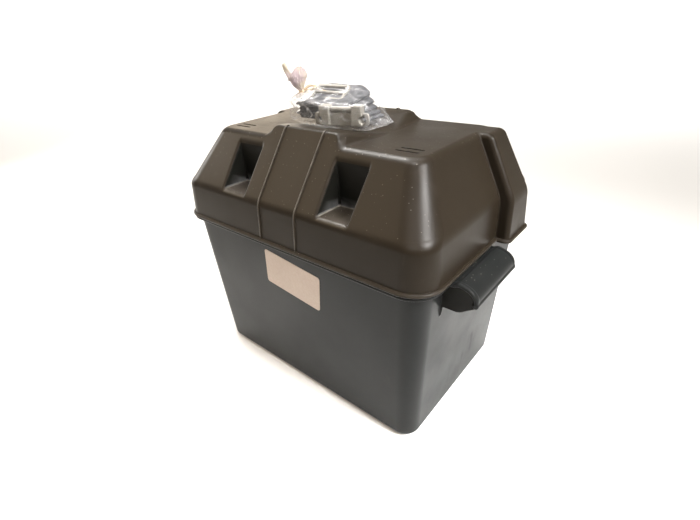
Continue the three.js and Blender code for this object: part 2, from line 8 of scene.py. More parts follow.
import bmesh
import bpy
import numpy as np
from mathutils import Matrix, Vector, noise


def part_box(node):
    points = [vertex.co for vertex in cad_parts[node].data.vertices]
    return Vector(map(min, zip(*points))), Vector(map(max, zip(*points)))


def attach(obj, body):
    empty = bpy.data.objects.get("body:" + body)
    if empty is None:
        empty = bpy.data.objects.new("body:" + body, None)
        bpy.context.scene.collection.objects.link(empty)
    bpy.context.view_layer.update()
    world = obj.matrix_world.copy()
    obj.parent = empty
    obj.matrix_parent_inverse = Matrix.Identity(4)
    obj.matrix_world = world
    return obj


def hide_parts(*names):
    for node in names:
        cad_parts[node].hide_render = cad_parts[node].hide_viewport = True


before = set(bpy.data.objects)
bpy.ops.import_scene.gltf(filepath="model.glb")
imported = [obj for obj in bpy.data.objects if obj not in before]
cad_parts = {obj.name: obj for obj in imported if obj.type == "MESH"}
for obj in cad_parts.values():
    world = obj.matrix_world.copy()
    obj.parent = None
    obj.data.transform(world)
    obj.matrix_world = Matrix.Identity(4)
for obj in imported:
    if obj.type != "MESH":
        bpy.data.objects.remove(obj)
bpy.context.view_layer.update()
mm = 0.001
diagonal = 0.7071        # turns a distance along an axis into one across a slope of 45 degrees
tiny = 1e-6


def linked(name, data):
    piece = bpy.data.objects.new(name, data)
    bpy.context.scene.collection.objects.link(piece)
    return piece


def smooth(mesh):
    mesh.polygons.foreach_set("use_smooth", np.ones(len(mesh.polygons), bool))


# Smooth solids from distance fields, which are negative inside


def roundMax(a, b, r):
    return np.minimum(np.maximum(a, b), -r) + np.hypot(np.maximum(a + r, 0), np.maximum(b + r, 0))


def roundMin(a, b, r):
    return -roundMax(-a, -b, r)


def ramp(value, low, high):
    share = np.clip((value - low) / (high - low), 0, 1)
    return share * share * (3 - 2 * share)


def between(low, high, share):
    return low + (high - low) * share


def outside(value, span):
    # how far a value is outside a span, and negative within it
    return np.abs(value - (span[0] + span[1]) / 2) - (span[1] - span[0]) / 2


def gridLines(low, high, coarse, zones):
    draft = 1.0
    zones = [(start, end, fine * draft) for start, end, fine in zones]
    coarse = coarse * draft
    lines = [low]
    while lines[-1] < high:
        at = lines[-1]
        step = min([fine for start, end, fine in zones if start <= at < end] + [coarse])
        starts = [start for start, end, fine in zones if at + 0.01 < start < at + step]
        lines.append(min(starts + [at + step]))
    return np.array(lines)


def mirroredLines(high, coarse, zones):
    half = gridLines(0.0, high, coarse, zones)
    return np.concatenate([-half[:0:-1], half])


# points in a block, points worked out at a time, the value far off, and how near counts
net = {"block": 4, "chunk": 400000, "far": 9.0, "steepest": 1.6, "slack": 1.2}


def gridValues(field, lines):
    # blocks far from the surface get one value, and only the others are worked out
    block, chunk = net["block"], net["chunk"]
    middles, halves, owner = [], [], []
    for line in lines:
        starts = np.arange(0, len(line), block)
        ends = np.minimum(starts + block, len(line)) - 1
        middles.append((line[starts] + line[ends]) / 2)
        halves.append((line[ends] - line[starts]) / 2)
        owner.append(np.minimum(np.arange(len(line)) // block, len(starts) - 1))
    reach = np.sqrt(sum(grid ** 2 for grid in np.meshgrid(*halves, indexing="ij")))
    rough = field(*np.meshgrid(*middles, indexing="ij"))
    near = np.abs(rough) < net["steepest"] * reach + net["slack"]
    pick = np.ix_(*owner)
    values = np.where(rough[pick] < 0, -net["far"], net["far"]).astype(np.float32)
    where = np.nonzero(near[pick])
    for start in range(0, len(where[0]), chunk):
        part = tuple(index[start:start + chunk] for index in where)
        values[part] = field(*[lines[axis][part[axis]] for axis in range(3)])
    return values


def surfaceNet(field, lines):
    # one point in each cell that the surface crosses, joined into quads
    shape = [len(line) for line in lines]
    values = gridValues(field, lines)
    inside = values < 0
    count = np.zeros([n - 1 for n in shape], np.int8)
    for corner in product((0, 1), repeat=3):
        count += inside[tuple(slice(at, n - 1 + at) for at, n in zip(corner, shape))]
    active = (count > 0) & (count < 8)
    cell = np.full(active.shape, -1, np.int64)
    where = np.nonzero(active)
    cell[where] = np.arange(len(where[0]))
    total = np.zeros((len(where[0]), 3))
    hits = np.zeros(len(where[0]))
    for axis, one, two in product(range(3), (0, 1), (0, 1)):
        offset = [0, 0, 0]
        offset[(axis + 1) % 3], offset[(axis + 2) % 3] = one, two
        near = tuple(where[i] + offset[i] for i in range(3))
        offset[axis] = 1
        far = tuple(where[i] + offset[i] for i in range(3))
        va, vb = values[near].astype(float), values[far].astype(float)
        cross = (va < 0) != (vb < 0)
        share = np.where(cross, va / np.where(cross, va - vb, 1), 0)
        spot = [lines[i][near[i]] for i in range(3)]
        spot[axis] = spot[axis] * (1 - share) + lines[axis][far[axis]] * share
        total[cross] += np.stack(spot, 1)[cross]
        hits[cross] += 1
    points = total / hits[:, None]
    quads = []
    for axis in range(3):
        first, second = (axis + 1) % 3, (axis + 2) % 3
        low = [slice(1, -1)] * 3
        high = [slice(1, -1)] * 3
        low[axis], high[axis] = slice(0, -1), slice(1, None)
        a, b = inside[tuple(low)], inside[tuple(high)]
        edge = np.nonzero(a != b)
        out = a[edge]
        base = [edge[i] + (0 if i == axis else 1) for i in range(3)]
        ring = []
        for one, two in ((-1, -1), (0, -1), (0, 0), (-1, 0)):
            at = list(base)
            at[first] = at[first] + one
            at[second] = at[second] + two
            ring.append(cell[tuple(at)])
        quad = np.stack(ring, 1)
        quad[~out] = quad[~out][:, ::-1]
        quads.append(quad)
    return points, np.concatenate(quads)


def gradient(field, points, reach=0.03):
    slopes = []
    for axis in range(3):
        step = np.zeros(3)
        step[axis] = reach
        slopes.append((field(*(points + step).T) - field(*(points - step).T)) / (2 * reach))
    return np.stack(slopes, 1)


def settle(field, points, rounds=3, most=0.5):
    for _ in range(rounds):
        slope = gradient(field, points)
        steep = np.maximum((slope ** 2).sum(1), 0.05)
        move = slope * (field(*points.T) / steep)[:, None]
        length = np.linalg.norm(move, axis=1, keepdims=True)
        points = points - move * np.minimum(1, most / np.maximum(length, 1e-9))
    return points


def solidFromField(name, field, lines, place=None, flatDegrees=0.12):
    points, quads = surfaceNet(field, lines)
    points = settle(field, points)
    mesh = bpy.data.meshes.new(name)
    mesh.from_pydata(points.tolist(), [], quads.tolist())
    work = bmesh.new()
    work.from_mesh(mesh)
    bmesh.ops.dissolve_limit(work, angle_limit=math.radians(flatDegrees), verts=work.verts,
                             edges=work.edges, use_dissolve_boundaries=False)
    bmesh.ops.triangulate(work, faces=[face for face in work.faces if len(face.verts) > 4])
    work.to_mesh(mesh)
    work.free()
    spots = np.empty(len(mesh.vertices) * 3)
    mesh.vertices.foreach_get("co", spots)
    spots = spots.reshape(-1, 3)
    normals = gradient(field, spots, 0.05)
    normals /= np.maximum(np.linalg.norm(normals, axis=1, keepdims=True), 1e-9)
    if place is not None:
        turn = np.array(place.to_3x3())
        spots = spots @ turn.T + np.array(place.translation)
        normals = normals @ turn.T
    mesh.vertices.foreach_set("co", (spots * mm).ravel())
    smooth(mesh)
    mesh.update()
    mesh.normals_split_custom_set_from_vertices(normals.tolist())
    print(f"{name}: {len(mesh.vertices)} points, {len(mesh.polygons)} faces")
    return linked(name, mesh)


# The lid, with its hoods, towers, pockets, ribs and vents

# half sizes are along X and along Y, and the corners are at the seat, the shoulder and the top
lid = {
    "seat": 182.3, "shoulder": 221.0, "top": 272.5, "wall": 2.6,
    "lip": (157.5, 107.5), "shoulderHalf": (154.25, 104.25), "topHalf": (124.5, 64.5),
    "corners": (25.5, 22.25, 12.9), "shoulderSoft": 4.5, "mouthSoft": 0.5,
    "deckEdge": 4.2, "towerEdge": 1.7, "towerCorner": 8.5, "cornerX": (38, 47), "edgeRise": (1, 6),
    "flangeReach": 2.5, "flangeThick": 3.6, "flangeSoft": 1.75, "flangeRoot": 0.35,
    "hoodReach": 11.6, "hoodAtLip": (18.0, 64.0), "hoodAtTop": (30.0, 61.0),
    "hoodCorner": 4.5, "hoodCrease": 1.2, "hoodFromX": 40,
    "towerRise": 9.0, "towerDepth": 7.0, "valley": 7.5, "towerEnd": (49.0, 56.0),
    "towerFoot": 1.6, "towerCrest": 2.0, "towerEndSoft": 4.0, "runPerRise": 0.7718,
    "pocketX": (47.0, 82.0), "pocketBack": 70.4, "pocketFloor": 223.3, "pocketSoft": 1.6,
    "pocketMouth": 2.8, "pocketInset": 1, "pocketDraft": 48,
    "ribX": 24.0, "ribHalf": 0.9, "ribProud": 1.5, "ribEnd": 54.0, "ribSoft": 0.7, "ribRoot": 0.5,
    "ventX": (91.0, 112.5), "ventY": (-48.5, -40.5), "ventHalf": 1.0, "ventFromZ": 240,
    "ventEdge": 0.2,
}


def wallAt(z, axis):
    seat, shoulder, top = lid["seat"], lid["shoulder"], lid["top"]
    low = (lid["lip"][axis] - lid["shoulderHalf"][axis]) / (shoulder - seat)
    high = (lid["shoulderHalf"][axis] - lid["topHalf"][axis]) / (top - shoulder)
    soft = lid["shoulderSoft"]
    above = np.clip(z - shoulder + soft, 0, 2 * soft)
    bend = low + (high - low) * above / (2 * soft)
    drop = low * np.minimum(z - shoulder + soft, 0)
    drop = drop + low * above + (high - low) * above ** 2 / (4 * soft)
    drop = drop + high * np.maximum(z - shoulder - soft, 0)
    half = lid["shoulderHalf"][axis] + low * soft - drop
    return half, 1 / np.sqrt(1 + bend ** 2)


def lidSides(x, y, z):
    halfX, cosX = wallAt(z, 0)
    halfY, cosY = wallAt(z, 1)
    corner = np.interp(z, [lid["seat"], lid["shoulder"], lid["top"]], lid["corners"])
    outX = np.abs(x) - halfX
    side = roundMax(outX * cosX, (np.abs(y) - halfY) * cosY, corner)
    share = (z - lid["seat"]) / (lid["top"] - lid["seat"])
    front, back = [between(*ends, share) for ends in zip(lid["hoodAtLip"], lid["hoodAtTop"])]
    face = (outX - lid["hoodReach"]) * cosX
    hood = roundMax(roundMax(face, front - y, lid["hoodCorner"]), y - back, lid["hoodCorner"])
    hood = np.maximum(hood, lid["hoodFromX"] - np.abs(x))
    return roundMin(side, hood, lid["hoodCrease"])


def lidTop(x, y, z):
    up = z - lid["top"]
    slopeY = lid["topHalf"][1] - lid["towerRise"] * lid["runPerRise"]
    crest = slopeY - lid["towerDepth"]
    steep = lid["towerRise"] / (crest - lid["valley"])
    fromValley = np.abs(y) - lid["valley"]
    rampUp = (up - fromValley * steep) / math.hypot(1, steep)
    tower = roundMax(up - lid["towerRise"], rampUp, lid["towerCrest"])
    outer, inner = lid["towerEnd"]
    endX = inner + (outer - inner) * fromValley / (slopeY - lid["valley"])
    tower = roundMax(tower, (np.abs(x) - endX + up) * diagonal, lid["towerEndSoft"])
    return roundMin(up, tower, lid["towerFoot"])


def lidForm(x, y, z):
    # the lid's outside without its pockets
    low, high = [lid["top"] + rise for rise in lid["edgeRise"]]
    towerEdge = between(lid["towerEdge"], lid["towerCorner"], ramp(np.abs(x), *lid["cornerX"]))
    edge = between(lid["deckEdge"], towerEdge, ramp(z, low, high))
    return roundMax(lidSides(x, y, z), lidTop(x, y, z), edge)


def lidBody(x, y, z):
    body = lidForm(x, y, z)
    near, far = lid["pocketX"]
    half = (far - near) / 2 - lid["pocketInset"] + (z - lid["pocketFloor"]) / lid["pocketDraft"]
    hollow = roundMax(np.abs(np.abs(x) - (near + far) / 2) - half,
                      lid["pocketBack"] - np.abs(y), lid["pocketSoft"])
    hollow = roundMax(hollow, lid["pocketFloor"] - z, lid["pocketSoft"])
    return roundMax(body, -hollow, lid["pocketMouth"])


def lidField(x, y, z):
    body = lidBody(x, y, z)
    middle = lid["seat"] + lid["flangeThick"] / 2
    flange = roundMax(lidSides(x, y, z) - lid["flangeReach"],
                      np.abs(z - middle) - lid["flangeThick"] / 2, lid["flangeSoft"])
    whole = roundMin(body, flange, lid["flangeRoot"])
    ribs = roundMax(np.abs(np.abs(x) - lid["ribX"]) - lid["ribHalf"], body - lid["ribProud"],
                    lid["ribSoft"])
    ribs = roundMax(ribs, lid["ribEnd"] - np.abs(y), lid["ribSoft"])
    ribs = np.maximum(ribs, lid["seat"] + 1 - z)
    whole = roundMin(whole, ribs, lid["ribRoot"])
    whole = np.maximum(whole, -(body + lid["wall"]))
    for middleY in lid["ventY"]:
        slot = roundMax(outside(np.abs(x), lid["ventX"]), np.abs(y - middleY) - lid["ventHalf"],
                        lid["ventHalf"])
        slot = np.maximum(slot, lid["ventFromZ"] - z)
        whole = roundMax(whole, -slot, lid["ventEdge"])
    return roundMax(whole, lid["seat"] - z, lid["mouthSoft"])


# the spacing of the grid: finer where there are edges
lidLines = (
    mirroredLines(174.0, 2.6, [
        (22.4, 25.8, 0.42), (45, 50, 0.7), (80, 85, 0.7), (90, 93, 0.6), (110.5, 113.5, 0.6),
        (36, 60, 1.6), (104, 118, 1.3), (118, 154, 1.05), (154, 174, 0.7)]),
    gridLines(-112.0, 112.0, 2.6, [
        (-112, -104, 0.7), (-104, -74, 1.1), (-74, -68, 0.8), (-68, -51, 0.8), (-50.5, -38.5, 0.4),
        (-12, 12, 1.2), (15, 34, 0.8), (51, 70, 0.8), (68, 74, 0.8), (74, 104, 1.1),
        (104, 112, 0.7)]),
    gridLines(180.5, 285.0, 2.0, [
        (180.5, 187, 0.55), (210, 214, 1.3), (214, 228, 0.75), (228, 262, 1.25), (262, 270, 1.0),
        (267, 285, 0.65)]),
)
lidPiece = solidFromField("lid_moulding", lidField, lidLines)


def meshPoints(piece):
    spots = np.empty(len(piece.data.vertices) * 3)
    piece.data.vertices.foreach_get("co", spots)
    return spots.reshape(-1, 3) / mm


def facePlaces(piece):
    count = len(piece.data.polygons) * 3
    centres, normals = np.empty(count), np.empty(count)
    piece.data.polygons.foreach_get("center", centres)
    piece.data.polygons.foreach_get("normal", normals)
    return (centres.reshape(-1, 3) / mm).T, normals.reshape(-1, 3).T


def lidPaintedShadeFaces():
    # the pockets' walls and the vents' sides, which get the duller plastic with its painted shade
    (x, y, z), (nx, ny, nz) = facePlaces(lidPiece)
    outX, outY, upright = np.abs(x), np.abs(y), np.abs(nz)
    depth = -lidForm(x, y, z)
    near, far = lid["pocketX"]
    wall = (outX > near - 1) & (outX < far + 1.5) & (outY > lid["pocketBack"] - 0.8)
    wall &= (z > lid["pocketFloor"] + 0.5) & (depth > 1.6) & (upright < 0.6)
    # facing into the pocket, not into the lid
    inwards = nx * np.sign((near + far) / 2 - outX) * np.sign(x)
    wall &= (ny * np.sign(y) > 0.5) | (inwards > 0.5)
    near, far = lid["ventX"]
    slot = (outX > near - 1) & (outX < far + 1) & (z > lid["ventFromZ"])
    slot &= (depth > 0.25) & (upright < 0.7)
    fromSlot = np.min([np.abs(y - middle) for middle in lid["ventY"]], axis=0)
    return wall | (slot & (fromSlot < lid["ventHalf"] + 0.4))


lidPaintedShade = lidPaintedShadeFaces()

# how strongly each place gets the painted highlight colour
lidHighlightPaint = {"rib": 0.6, "lip": 0.14, "pocketFloor": 0.22, "pocketSeam": 0.9}


def lidPaintedHighlights():
    # how pale each point is painted: painted highlights on the ribs' crests, the lip and the
    # pockets' seams, and painted reflection on the pockets' floors
    x, y, z = meshPoints(lidPiece).T
    outX, outY = np.abs(x), np.abs(y)
    rib = ramp(lidBody(x, y, z), 0.7, 1.3) * (z > lid["seat"] + 6)
    rib = rib * (1 - ramp(np.abs(outX - lid["ribX"]), 0.3, 0.9))
    outer = lidSides(x, y, z) - lid["flangeReach"]
    lip = ramp(outer, -0.6, -0.1) * (1 - ramp(np.abs(z - lid["seat"] - 2.3), 0.4, 1.1))
    near, far = lid["pocketX"]
    depth = -lidForm(x, y, z)
    low = (outX > near) & (outX < far) & (outY > lid["pocketBack"] - 0.8)
    low &= (np.abs(z - lid["pocketFloor"]) < 1.8) & (depth > 0.4) & (depth < 40)
    wall = np.minimum(outY - lid["pocketBack"],
                      (far - near) / 2 - lid["pocketInset"] - np.abs(outX - (near + far) / 2))
    seam = low * (1 - ramp(np.abs(wall - 0.4), 0.3, 1.1)) * ramp(depth, 1.0, 4.0)
    floor = low * ramp(wall, 0.5, 2.5)
    paintedHighlight = np.max([lidHighlightPaint["rib"] * rib, lidHighlightPaint["lip"] * lip, lidHighlightPaint["pocketFloor"] * floor,
                   lidHighlightPaint["pocketSeam"] * seam], axis=0)
    lidPiece.data.attributes.new("paintedHighlight", "FLOAT", "POINT").data.foreach_set("value", paintedHighlight)


lidPaintedHighlights()

# The tub, with its rim, upstand and hollow handles

# pairs of half sizes are along X and along Y, and the corners are at the base and at the rim
tub = {
    "base": (145.0, 95.0), "rim": (152.0, 102.0), "corners": (17.0, 20.0), "height": 182.0,
    "wall": 3.0, "floor": 3.4, "bottomEdge": 7.0, "draft": 0.0385,
    "flangeReach": 6.5, "flangeThick": 3.0, "flangeSoft": 1.2,
    "upstand": 6.0, "upstandStep": 1.4, "root": 0.9,
    "handleY": (-69.0, 9.0), "handleCrest": 183.5, "handleStart": 164.0, "handleReach": 17.5,
    "handleRoot": 160.5, "handleDrop": 13.0, "handleShell": 3.0, "handleBead": 2.4,
    "beadInset": 1.3, "bandFromX": 150, "plateFromX": 148,
    "plateFromZ": 148,
    "handlePlate": 3.0, "plateInset": 1.2, "plateDepth": 14.7, "plateReach": 16.0,
    "plateSlope": 1.35, "plateSoft": 2.0,
    "gussetDrop": 10.0, "gussetReach": 2.0, "gussetInset": 2.2, "gussetHalf": 1.0,
}


def tubSides(x, y, z):
    share = z / tub["height"]
    outX, outY = [np.abs(value) - between(*ends, share)
                  for value, ends in zip((x, y), zip(tub["base"], tub["rim"]))]
    return roundMax(outX, outY, between(*tub["corners"], share))


def tubHandle(x, y, z):
    out = np.abs(x)
    near, far = tub["handleY"]
    fromMiddle, half = np.abs(y - (near + far) / 2), (far - near) / 2
    span = fromMiddle - half
    startX, crest = tub["handleStart"], tub["handleCrest"]
    reach, drop, rim = tub["handleReach"], tub["handleDrop"], tub["height"]
    low = crest - drop
    # quarter of an ellipse as a distance, by scaling its gradient
    dx = np.maximum(out - startX, 0)
    dz = np.maximum(z - low, 0)
    level = np.hypot(dx / reach, dz / drop)
    steep = np.hypot(dx / reach ** 2, dz / drop ** 2) / np.maximum(level, tiny)
    arc = (level - 1) / np.maximum(steep, 1 / max(reach, drop))
    arc = np.maximum(arc, z - crest)
    # the crest steps down to the rim inside the handle's root
    root = rim + (out - tub["handleRoot"]) * (crest - rim) / (startX - tub["handleRoot"])
    arc = np.maximum(arc, (z - np.maximum(root, rim)) * 0.92)
    band = np.abs(arc + tub["handleShell"] / 2) - tub["handleShell"] / 2
    band = np.maximum(band, low - tub["handleBead"] - z)
    band = np.maximum(band, tub["bandFromX"] - out)
    band = roundMax(band, span, 1.0)
    beadX = startX + reach - tub["beadInset"]
    bead = np.hypot(out - beadX, z - low + tub["handleBead"]) - tub["handleBead"]
    bead = roundMax(bead, span, 1.0)
    shell = roundMin(band, bead, 0.8)
    plateMiddle = half - tub["plateInset"] - tub["handlePlate"] / 2
    plateSpan = np.abs(fromMiddle - plateMiddle) - tub["handlePlate"] / 2
    webZ = low - tub["plateDepth"]
    wallX = tub["rim"][0] - tub["draft"] * (rim - z)
    # 0.595 is the cosine of the plate's slope
    slant = (out - (wallX + tub["plateReach"]) - (z - webZ) * tub["plateSlope"]) * 0.595
    plate = roundMax(roundMax(arc, slant, tub["plateSoft"]), webZ - z, tub["plateSoft"])
    plate = roundMax(plate, plateSpan, 0.7)
    plate = np.maximum(plate, tub["plateFromX"] - out)
    gussetSpan = np.abs(fromMiddle - (half - tub["gussetInset"])) - tub["gussetHalf"]
    fall = tub["gussetDrop"]
    taper = tub["gussetReach"] * (0.5 + 0.5 * (z - webZ + fall) / fall)
    gusset = roundMax(roundMax(gussetSpan, out - wallX - taper, 0.6), webZ - fall - z, 0.6)
    gusset = np.maximum(np.maximum(gusset, z - webZ - 2), tub["plateFromX"] - out)
    return roundMin(roundMin(shell, plate, 0.8), gusset, 0.5)


def tubField(x, y, z):
    rim = tub["height"]
    sides = tubSides(x, y, z)
    body = roundMax(roundMax(sides, -z, tub["bottomEdge"]), z - rim, 0.5)
    rimSides = tubSides(x, y, np.full_like(z, rim))
    middle = rim - tub["flangeThick"] / 2
    flange = roundMax(rimSides - tub["flangeReach"],
                      np.abs(z - middle) - tub["flangeThick"] / 2, tub["flangeSoft"])
    upstand = roundMax(rimSides - tub["upstandStep"], z - rim - tub["upstand"], tub["root"])
    upstand = np.maximum(upstand, rim - 2 - z)
    body = roundMin(roundMin(body, flange, tub["root"]), tubHandle(x, y, z), tub["root"])
    body = np.minimum(body, upstand)
    inner = roundMax(sides + tub["wall"], tub["floor"] - z, tub["bottomEdge"] - 3)
    inner = np.maximum(inner, z - rim + 1)
    mouth = np.maximum(rimSides + tub["wall"] - tub["upstandStep"], rim - 1 - z)
    return roundMax(body, -np.minimum(inner, mouth), 0.4)


tubLines = (
    mirroredLines(187.0, 5.0, [(125, 140, 2.2), (138, 187, 0.95)]),
    gridLines(-111.0, 111.0, 5.0, [
        (-111, -88, 1.0), (-88, -74, 2.2), (-72, -62, 0.7), (2, 12, 0.7), (74, 88, 2.2),
        (88, 111, 1.0)]),
    gridLines(-1.5, 190.0, 5.0, [(-1.5, 11, 1.0), (140, 152, 2.0), (152, 190, 0.75)]),
)
tubPiece = solidFromField("tub_moulding", tubField, tubLines)


def tubPaintedShadeFaces():
    # the handles' end plates and the inside of their arches, which get the duller plastic with its
    # painted shade
    (x, y, z), (_, ny, _) = facePlaces(tubPiece)
    near, far = tub["handleY"]
    within = np.abs(y - (near + far) / 2) < (far - near) / 2 - 0.5
    arch = np.hypot((np.abs(x) - tub["handleStart"]) / tub["handleReach"],
                    (z - tub["handleCrest"] + tub["handleDrop"]) / tub["handleDrop"])
    under = (np.abs(x) > 155) & (z < tub["handleCrest"] - 2.6) & (arch < 0.86)
    plate = (np.abs(ny) > 0.8) & (np.abs(x) > tub["bandFromX"]) & (z > tub["plateFromZ"])
    return (plate | under) & within


tubPaintedShade = tubPaintedShadeFaces()

# The brackets and the buckle, where their nodes are in the bag

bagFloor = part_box("bag")[0][2] / mm
fittings = {
    "film": 0.7, "gap": 0.3, "middle": (-8.0, 2.5),
    "strapWidth": 38.0, "strapThick": 1.2, "strapRun": 76.0, "strapLayers": 10, "stepBack": 2.1,
    "frontX": 25.4, "backX": -10.0, "skew": 15.0, "barDrop": 3.5,
    "buckleX": -13.0, "lean": 55.0,
    "neck": (-38.0, -18.0), "neckRise": 12.5,
}
insideFloor = bagFloor + fittings["film"] + fittings["gap"]
strapPitch = fittings["strapThick"] + fittings["gap"]
strapTop = insideFloor + fittings["strapLayers"] * strapPitch - fittings["gap"]


def placedMatrix(x, y, z, turn=None):
    middle = fittings["middle"]
    return Matrix.Translation((middle[0] + x, middle[1] + y, z)) @ (turn or Matrix.Identity(4))


bracket = {
    "length": 54.0, "height": 11.0, "thick": 3.2, "corner": 2.5,
    "post": 10.0, "postPitch": 32.0, "depth": 9.0, "loopHeight": 17.5,
    "bar": 5.0, "hole": 4.6, "holeInset": 5.5,
}
buckle = {"length": 42.0, "height": 20.0, "thick": 3.0, "side": 3.0, "bar": 3.2, "corner": 3.0}


def bracketField(x, y, z):
    low = -bracket["height"] / 2
    plate = roundMax(np.abs(x) - bracket["length"] / 2, np.abs(z) + low, bracket["corner"])
    plate = roundMax(plate, np.abs(y) - bracket["thick"] / 2, 0.6)
    post = roundMax(np.abs(np.abs(x) - bracket["postPitch"] / 2) - bracket["post"] / 2,
                    np.abs(y) - bracket["depth"] / 2, 1.0)
    loopHalf = bracket["loopHeight"] / 2
    post = roundMax(post, np.abs(z - low - loopHalf) - loopHalf, 1.0)
    barZ = low + bracket["loopHeight"] - fittings["barDrop"]
    bar = np.maximum(np.hypot(y, z - barZ) - bracket["bar"] / 2,
                     np.abs(x) - bracket["postPitch"] / 2)
    whole = roundMin(roundMin(plate, post, 0.8), bar, 0.8)
    fromHole = np.abs(x) - bracket["length"] / 2 + bracket["holeInset"]
    hole = np.hypot(fromHole, z) - bracket["hole"] / 2 - 0.8 * ramp(-y, 0.4, 1.6)
    return roundMax(whole, -hole, 0.3)


def buckleField(x, y, z):
    halfLength, halfHeight = buckle["length"] / 2, buckle["height"] / 2
    whole = roundMax(np.abs(x) - halfLength, np.abs(z) - halfHeight, buckle["corner"])
    slotHalf = (buckle["height"] - 3 * buckle["bar"]) / 4
    slot = roundMax(np.abs(x) - halfLength + buckle["side"],
                    np.abs(np.abs(z) - slotHalf - buckle["bar"] / 2) - slotHalf, 1.0)
    whole = roundMax(whole, np.abs(y) - buckle["thick"] / 2, 1.1)
    return roundMax(whole, -slot, 1.1)


def standingPlace(side, x, degrees):
    skew = math.radians(degrees)
    askew = (math.sin(skew) * (bracket["postPitch"] + bracket["post"]) / 2
             + math.cos(skew) * bracket["depth"] / 2)
    y = side * (fittings["strapWidth"] / 2 + fittings["gap"] + askew)
    return placedMatrix(x, y, insideFloor + bracket["height"] / 2, Matrix.Rotation(skew, 4, "Z"))


bracketLines = (
    gridLines(-28.2, 28.2, 1.3, [(-28.2, -18, 0.6), (-12, -10, 0.6), (10, 12, 0.6),
                                 (18, 28.2, 0.6)]),
    gridLines(-5.3, 5.3, 0.55, []),
    gridLines(-6.3, 13.2, 0.6, []),
)
frontBracket, backBracket = [
    solidFromField(name, bracketField, bracketLines, standingPlace(side, x, degrees))
    for name, side, x, degrees in (("bracket_front", -1, fittings["frontX"], fittings["skew"]),
                                   ("bracket_back", 1, fittings["backX"], 0))]

lean = math.radians(fittings["lean"])
buckleRise = math.cos(lean) * buckle["height"] + math.sin(lean) * buckle["thick"]
buckleLines = (
    gridLines(-22.0, 22.0, 1.6, [(-22, -15, 0.55), (15, 22, 0.55)]),
    gridLines(-2.2, 2.2, 0.45, []),
    gridLines(-11.0, 11.0, 0.5, []),
)
bucklePlace = placedMatrix(fittings["buckleX"], 0, strapTop + fittings["gap"] + buckleRise / 2,
                           Matrix.Rotation(-lean, 4, "X"))
bucklePiece = solidFromField("buckle_slide", buckleField, buckleLines, bucklePlace)

# Helpers for trees of nodes and for plain meshes


def nodeTree(name, sockets):
    tree = bpy.data.node_groups.new(name, "GeometryNodeTree")
    tree.interface.new_socket("Geometry", in_out="INPUT", socket_type="NodeSocketGeometry")
    for label, kind, value in sockets:
        made = tree.interface.new_socket(label, in_out="INPUT", socket_type=kind)
        if value is not None:
            made.default_value = value
    tree.interface.new_socket("Geometry", in_out="OUTPUT", socket_type="NodeSocketGeometry")
    return tree


def addNode(tree, kind, settings=None, **inputs):
    # sets or links the inputs by name, or by place as n0, n1 and so on
    node = tree.nodes.new(kind)
    for key, value in (settings or {}).items():
        setattr(node, key, value)
    for key, value in inputs.items():
        byPlace = key[0] == "n" and key[1:].isdigit()
        socket = node.inputs[int(key[1:]) if byPlace else key.replace("_", " ")]
        if isinstance(value, bpy.types.NodeSocket):
            tree.links.new(value, socket)
        else:
            socket.default_value = value
    return node


def finishTree(tree, socket, material):
    realized = addNode(tree, "GeometryNodeRealizeInstances", Geometry=socket)
    dressed = addNode(tree, "GeometryNodeSetMaterial", Geometry=realized.outputs[0],
                      Material=material)
    out = tree.nodes.new("NodeGroupOutput")
    tree.links.new(dressed.outputs[0], out.inputs[0])


def plainCopy(holder, name):
    # what the holder's modifiers or curve make, as a plain smooth mesh object in its place
    bpy.context.view_layer.update()
    made = holder.evaluated_get(bpy.context.evaluated_depsgraph_get())
    mesh = bpy.data.meshes.new_from_object(made)
    bpy.data.objects.remove(holder, do_unlink=True)
    mesh.name = name
    smooth(mesh)
    print(f"{name}: {len(mesh.vertices)} points")
    return linked(name, mesh)


def runTree(holder, tree, values, name):
    modifier = holder.modifiers.new("nodes", "NODES")
    modifier.node_group = tree
    sockets = {item.name: item.identifier for item in tree.interface.items_tree
               if item.in_out == "INPUT"}
    for label, value in values.items():
        modifier[sockets[label]] = value
    return plainCopy(holder, name)


def plainMesh(name, points, faces):
    mesh = bpy.data.meshes.new(name)
    mesh.from_pydata([tuple(point) for point in points], [], [tuple(face) for face in faces])
    return linked(name, mesh)


# Finishes, all worked out from Object coordinates and own attributes


def finish(name, base, roughness, **sockets):
    material = bpy.data.materials.new(name)
    material.use_nodes = True
    tree = material.node_tree
    shader = tree.nodes["Principled BSDF"]
    shader.inputs["Base Color"].default_value = (*base, 1)
    shader.inputs["Roughness"].default_value = roughness
    for key, value in sockets.items():
        shader.inputs[key.replace("_", " ")].default_value = value
    place = tree.nodes.new("ShaderNodeTexCoord").outputs["Object"]
    return material, tree, shader, place


def noiseValue(tree, place, scale, detail=3.0, rough=0.5, stretch=None):
    if stretch:
        place = addNode(tree, "ShaderNodeMapping", Vector=place, Scale=stretch).outputs[0]
    return addNode(tree, "ShaderNodeTexNoise", Vector=place, Scale=scale, Detail=detail,
                   Roughness=rough).outputs[0]


def attribute(tree, name):
    return addNode(tree, "ShaderNodeAttribute", {"attribute_name": name}).outputs["Fac"]


def spread(tree, value, low, high, to=(0.0, 1.0)):
    node = addNode(tree, "ShaderNodeMapRange", Value=value)
    for key, number in zip(("From Min", "From Max", "To Min", "To Max"), (low, high, *to)):
        node.inputs[key].default_value = number
    return node.outputs[0]


def combine(tree, kind, a, b):
    return addNode(tree, "ShaderNodeMath", {"operation": kind}, n0=a, n1=b).outputs[0]


def times(tree, a, b):
    return combine(tree, "MULTIPLY", a, b)


